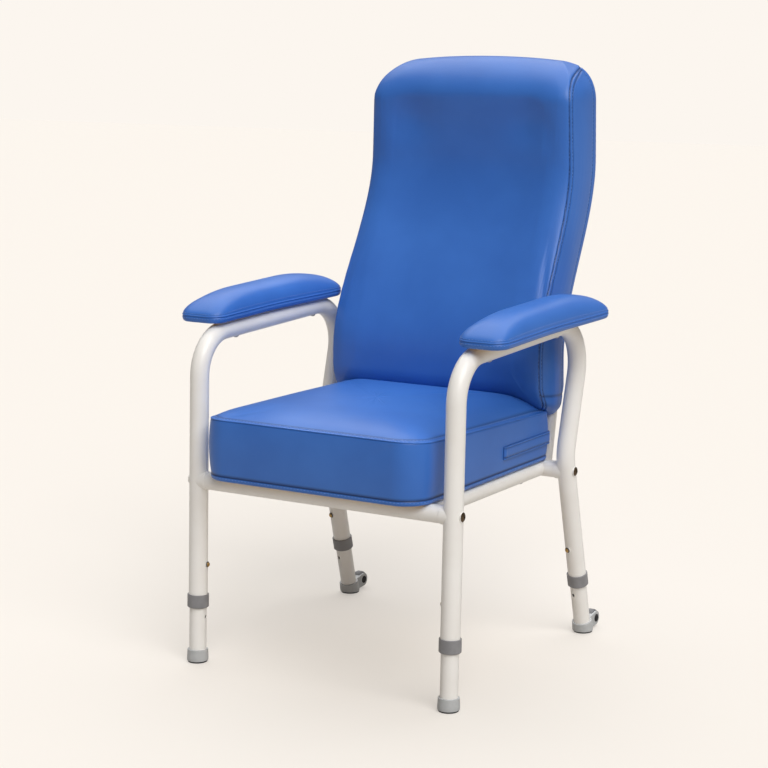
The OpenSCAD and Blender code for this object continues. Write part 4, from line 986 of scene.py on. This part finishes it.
# %% Plastics and rubber
collar_grey, foot_grey, ring_white, wheel_grey, rubber = (
    toned(name, base, rough, ("noise", 1.6, 0.05, 0.5), (base, other), 22.0, {"IOR": 1.49})[0]
    for name, base, other, rough in (
        ("polypropylene_grey", "858486", "8F8E90", 0.45), ("nylon_light_grey", "B4B6B6", "BEBFBF", 0.42),
        ("nylon_white", "EFECE6", "F4F1EC", 0.35), ("polypropylene_wheel", "6E6E70", "7A7A7C", 0.5),
        ("sole_rubber_black", "161617", "242325", 0.8)))

# %% [markdown]
# **Metals** keep their default refraction. The bolts are bronze-coloured
# zinc plate, the buttons turned brass, and the hidden screws bright zinc.
# **Plywood** is birch, its figure a noise drawn out along the sheet.

# %% Metals and plywood
bronze, brass, zinc, dark_steel = (
    toned(name, base, rough, ("noise", size_mm, 0.02, 0.6), (base, other), 9.0, {"Metallic": 1.0})[0]
    for name, base, other, rough, size_mm in (
        ("bronzed_zinc_plate", "5F5040", "75634D", 0.34, 1.2), ("turned_brass", "B8935A", "C9A468", 0.3, 1.0),
        ("bright_zinc_plate", "B9BBBE", "C8C9CB", 0.32, 1.4), ("blackened_steel", "55565A", "66676B", 0.4, 1.2)))

plywood, tree, shader = finish("birch_plywood", "C9A673", 0.62, {"IOR": 1.45})
place = grain(tree, shader, "noise", 1.8, 0.05, 0.5)
stretch = node(tree, "ShaderNodeMapping", {"Scale": (40.0, 4.0, 700.0)}, Vector=place.outputs["Object"])
figure = node(tree, "ShaderNodeTexNoise", {"Scale": 1.0, "Detail": 6.0, "Roughness": 0.6},
              Vector=stretch.outputs["Vector"])
two_tones(tree, shader, figure.outputs["Fac"], 0.3, 0.72, "A98353", "D9BC8C")

# %% [markdown]
# ## Every piece in its place
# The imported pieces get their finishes. Each padded skin takes the place of
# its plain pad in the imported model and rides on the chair's frame, and so do
# the stitches.

# %% Give every piece its finish and its place
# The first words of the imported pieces' names, by finish
by_start = {start: made for made, starts in (
    (coat, "side_frame front_cross rear_cross side_rail saddle bolt_washers back_frame leg"),
    (zinc, "threaded_plugs back_board_screws seat_screws arm_screws lock_spring axle"),
    (plywood, "back_board seat_board arm_board"), (rubber, "sole axle_caps"), (bronze, "frame_bolts"),
    (ring_white, "lock_rings"), (collar_grey, "collar"), (foot_grey, "foot"), (dark_steel, "lock_bush"),
    (brass, "lock_pin"), (wheel_grey, "wheel")) for start in starts.split()}
for name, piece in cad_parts.items():
    fits = [start for start in by_start if name.startswith(start)]
    if fits:
        piece.data.materials.clear()
        piece.data.materials.append(by_start[max(fits, key=len)])

soft = [(seat_skin, "seat_pad", 0.9), (back_skin, "back_pad", 0.9), (flap_skin, "zip_flap", 0.3),
        (arm_skins["left"], "arm_pad_left", 0.95), (arm_skins["right"], "arm_pad_right", 0.95)]
for piece, stands_for, fill in soft:
    piece.data.materials.append(vinyl)
    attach(piece, "chair")
    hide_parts(stands_for)
for piece in [seat_stitches, flap_stitches, back_stitches, *arm_stitches.values()]:
    piece.data.materials.append(thread)
    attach(piece, "chair")
print("pads and flap:", len(soft))

# %% [markdown]
# ## Floor
# The pale studio floor glows a little, and more towards the camera, so that
# it meets the backdrop in the same cream. It keeps the chair's soft shadow.

# %% Floor
FLOOR_HALF, FLOOR_DROP = 14.0, 0.0004
GLOW, GLOW_TO_CAMERA = 0.1, 0.33

corners = [(-1, -1), (1, -1), (1, 1), (-1, 1)]
mesh = bpy.data.meshes.new("floor")
mesh.from_pydata([(a * FLOOR_HALF, b * FLOOR_HALF, -FLOOR_DROP) for a, b in corners], [], [(0, 1, 2, 3)])
floor = placed("floor", mesh)
paper, tree, shader = finish("studio_floor_cream", "B1ACA6", 0.9,
                             {"Specular IOR Level": 0.1, "Emission Color": colour("FEF8F0")})
rays = node(tree, "ShaderNodeLightPath")
glow = node(tree, "ShaderNodeMath", {"operation": "MULTIPLY_ADD", 1: GLOW_TO_CAMERA, 2: GLOW},
            _0=rays.outputs["Is Camera Ray"])
tree.links.new(glow.outputs[0], shader.inputs["Emission Strength"])
floor.data.materials.append(paper)

# %% [markdown]
# ## World and lamps
# The camera sees an even cream backdrop, glossy surfaces a small part of it,
# and the chair gets a low light from all round. The rest comes from two wide
# lamps: the main one high on the right, and one from above and behind.

# %% World and lamps
GLOSSY_SHARE, AMBIENT = 0.15, 0.1

world = bpy.data.worlds.new("studio")
bpy.context.scene.world = world
world.use_nodes = True
tree = world.node_tree
tree.nodes.clear()
rays = node(tree, "ShaderNodeLightPath")
direct = node(tree, "ShaderNodeMath", {"operation": "MAXIMUM"},
              _0=rays.outputs["Is Camera Ray"], _1=rays.outputs["Is Transmission Ray"])
seen = node(tree, "ShaderNodeMath", {"operation": "MULTIPLY_ADD", 1: GLOSSY_SHARE},
            _0=rays.outputs["Is Glossy Ray"], _2=direct.outputs[0])
backdrop = node(tree, "ShaderNodeBackground", {"Color": colour("FCF6EF"), "Strength": 1.0})
ambient = node(tree, "ShaderNodeBackground", {"Color": colour("FFFCF8"), "Strength": AMBIENT})
both = node(tree, "ShaderNodeMixShader", {}, _0=seen.outputs[0], _1=ambient.outputs[0], _2=backdrop.outputs[0])
node(tree, "ShaderNodeOutputWorld", {}, Surface=both.outputs[0])

# Each lamp's direction, its width in degrees as seen from the chair, and its light on a surface facing it
for name, place, width_deg, level in (("right", (1.6, -1.1, 2.3), 45, 2.4), ("behind", (-0.6, 1.1, 2.5), 70, 2.0)):
    data = bpy.data.lights.new(name, "SUN")
    data.angle, data.energy = math.radians(width_deg), level
    lamp = placed(name, data)
    lamp.location = place
    lamp.rotation_euler = (-Vector(place)).to_track_quat("-Z", "Y").to_euler()
    print("lamp", name, "at level", level)
bpy.context.scene.view_settings.view_transform = "Standard"
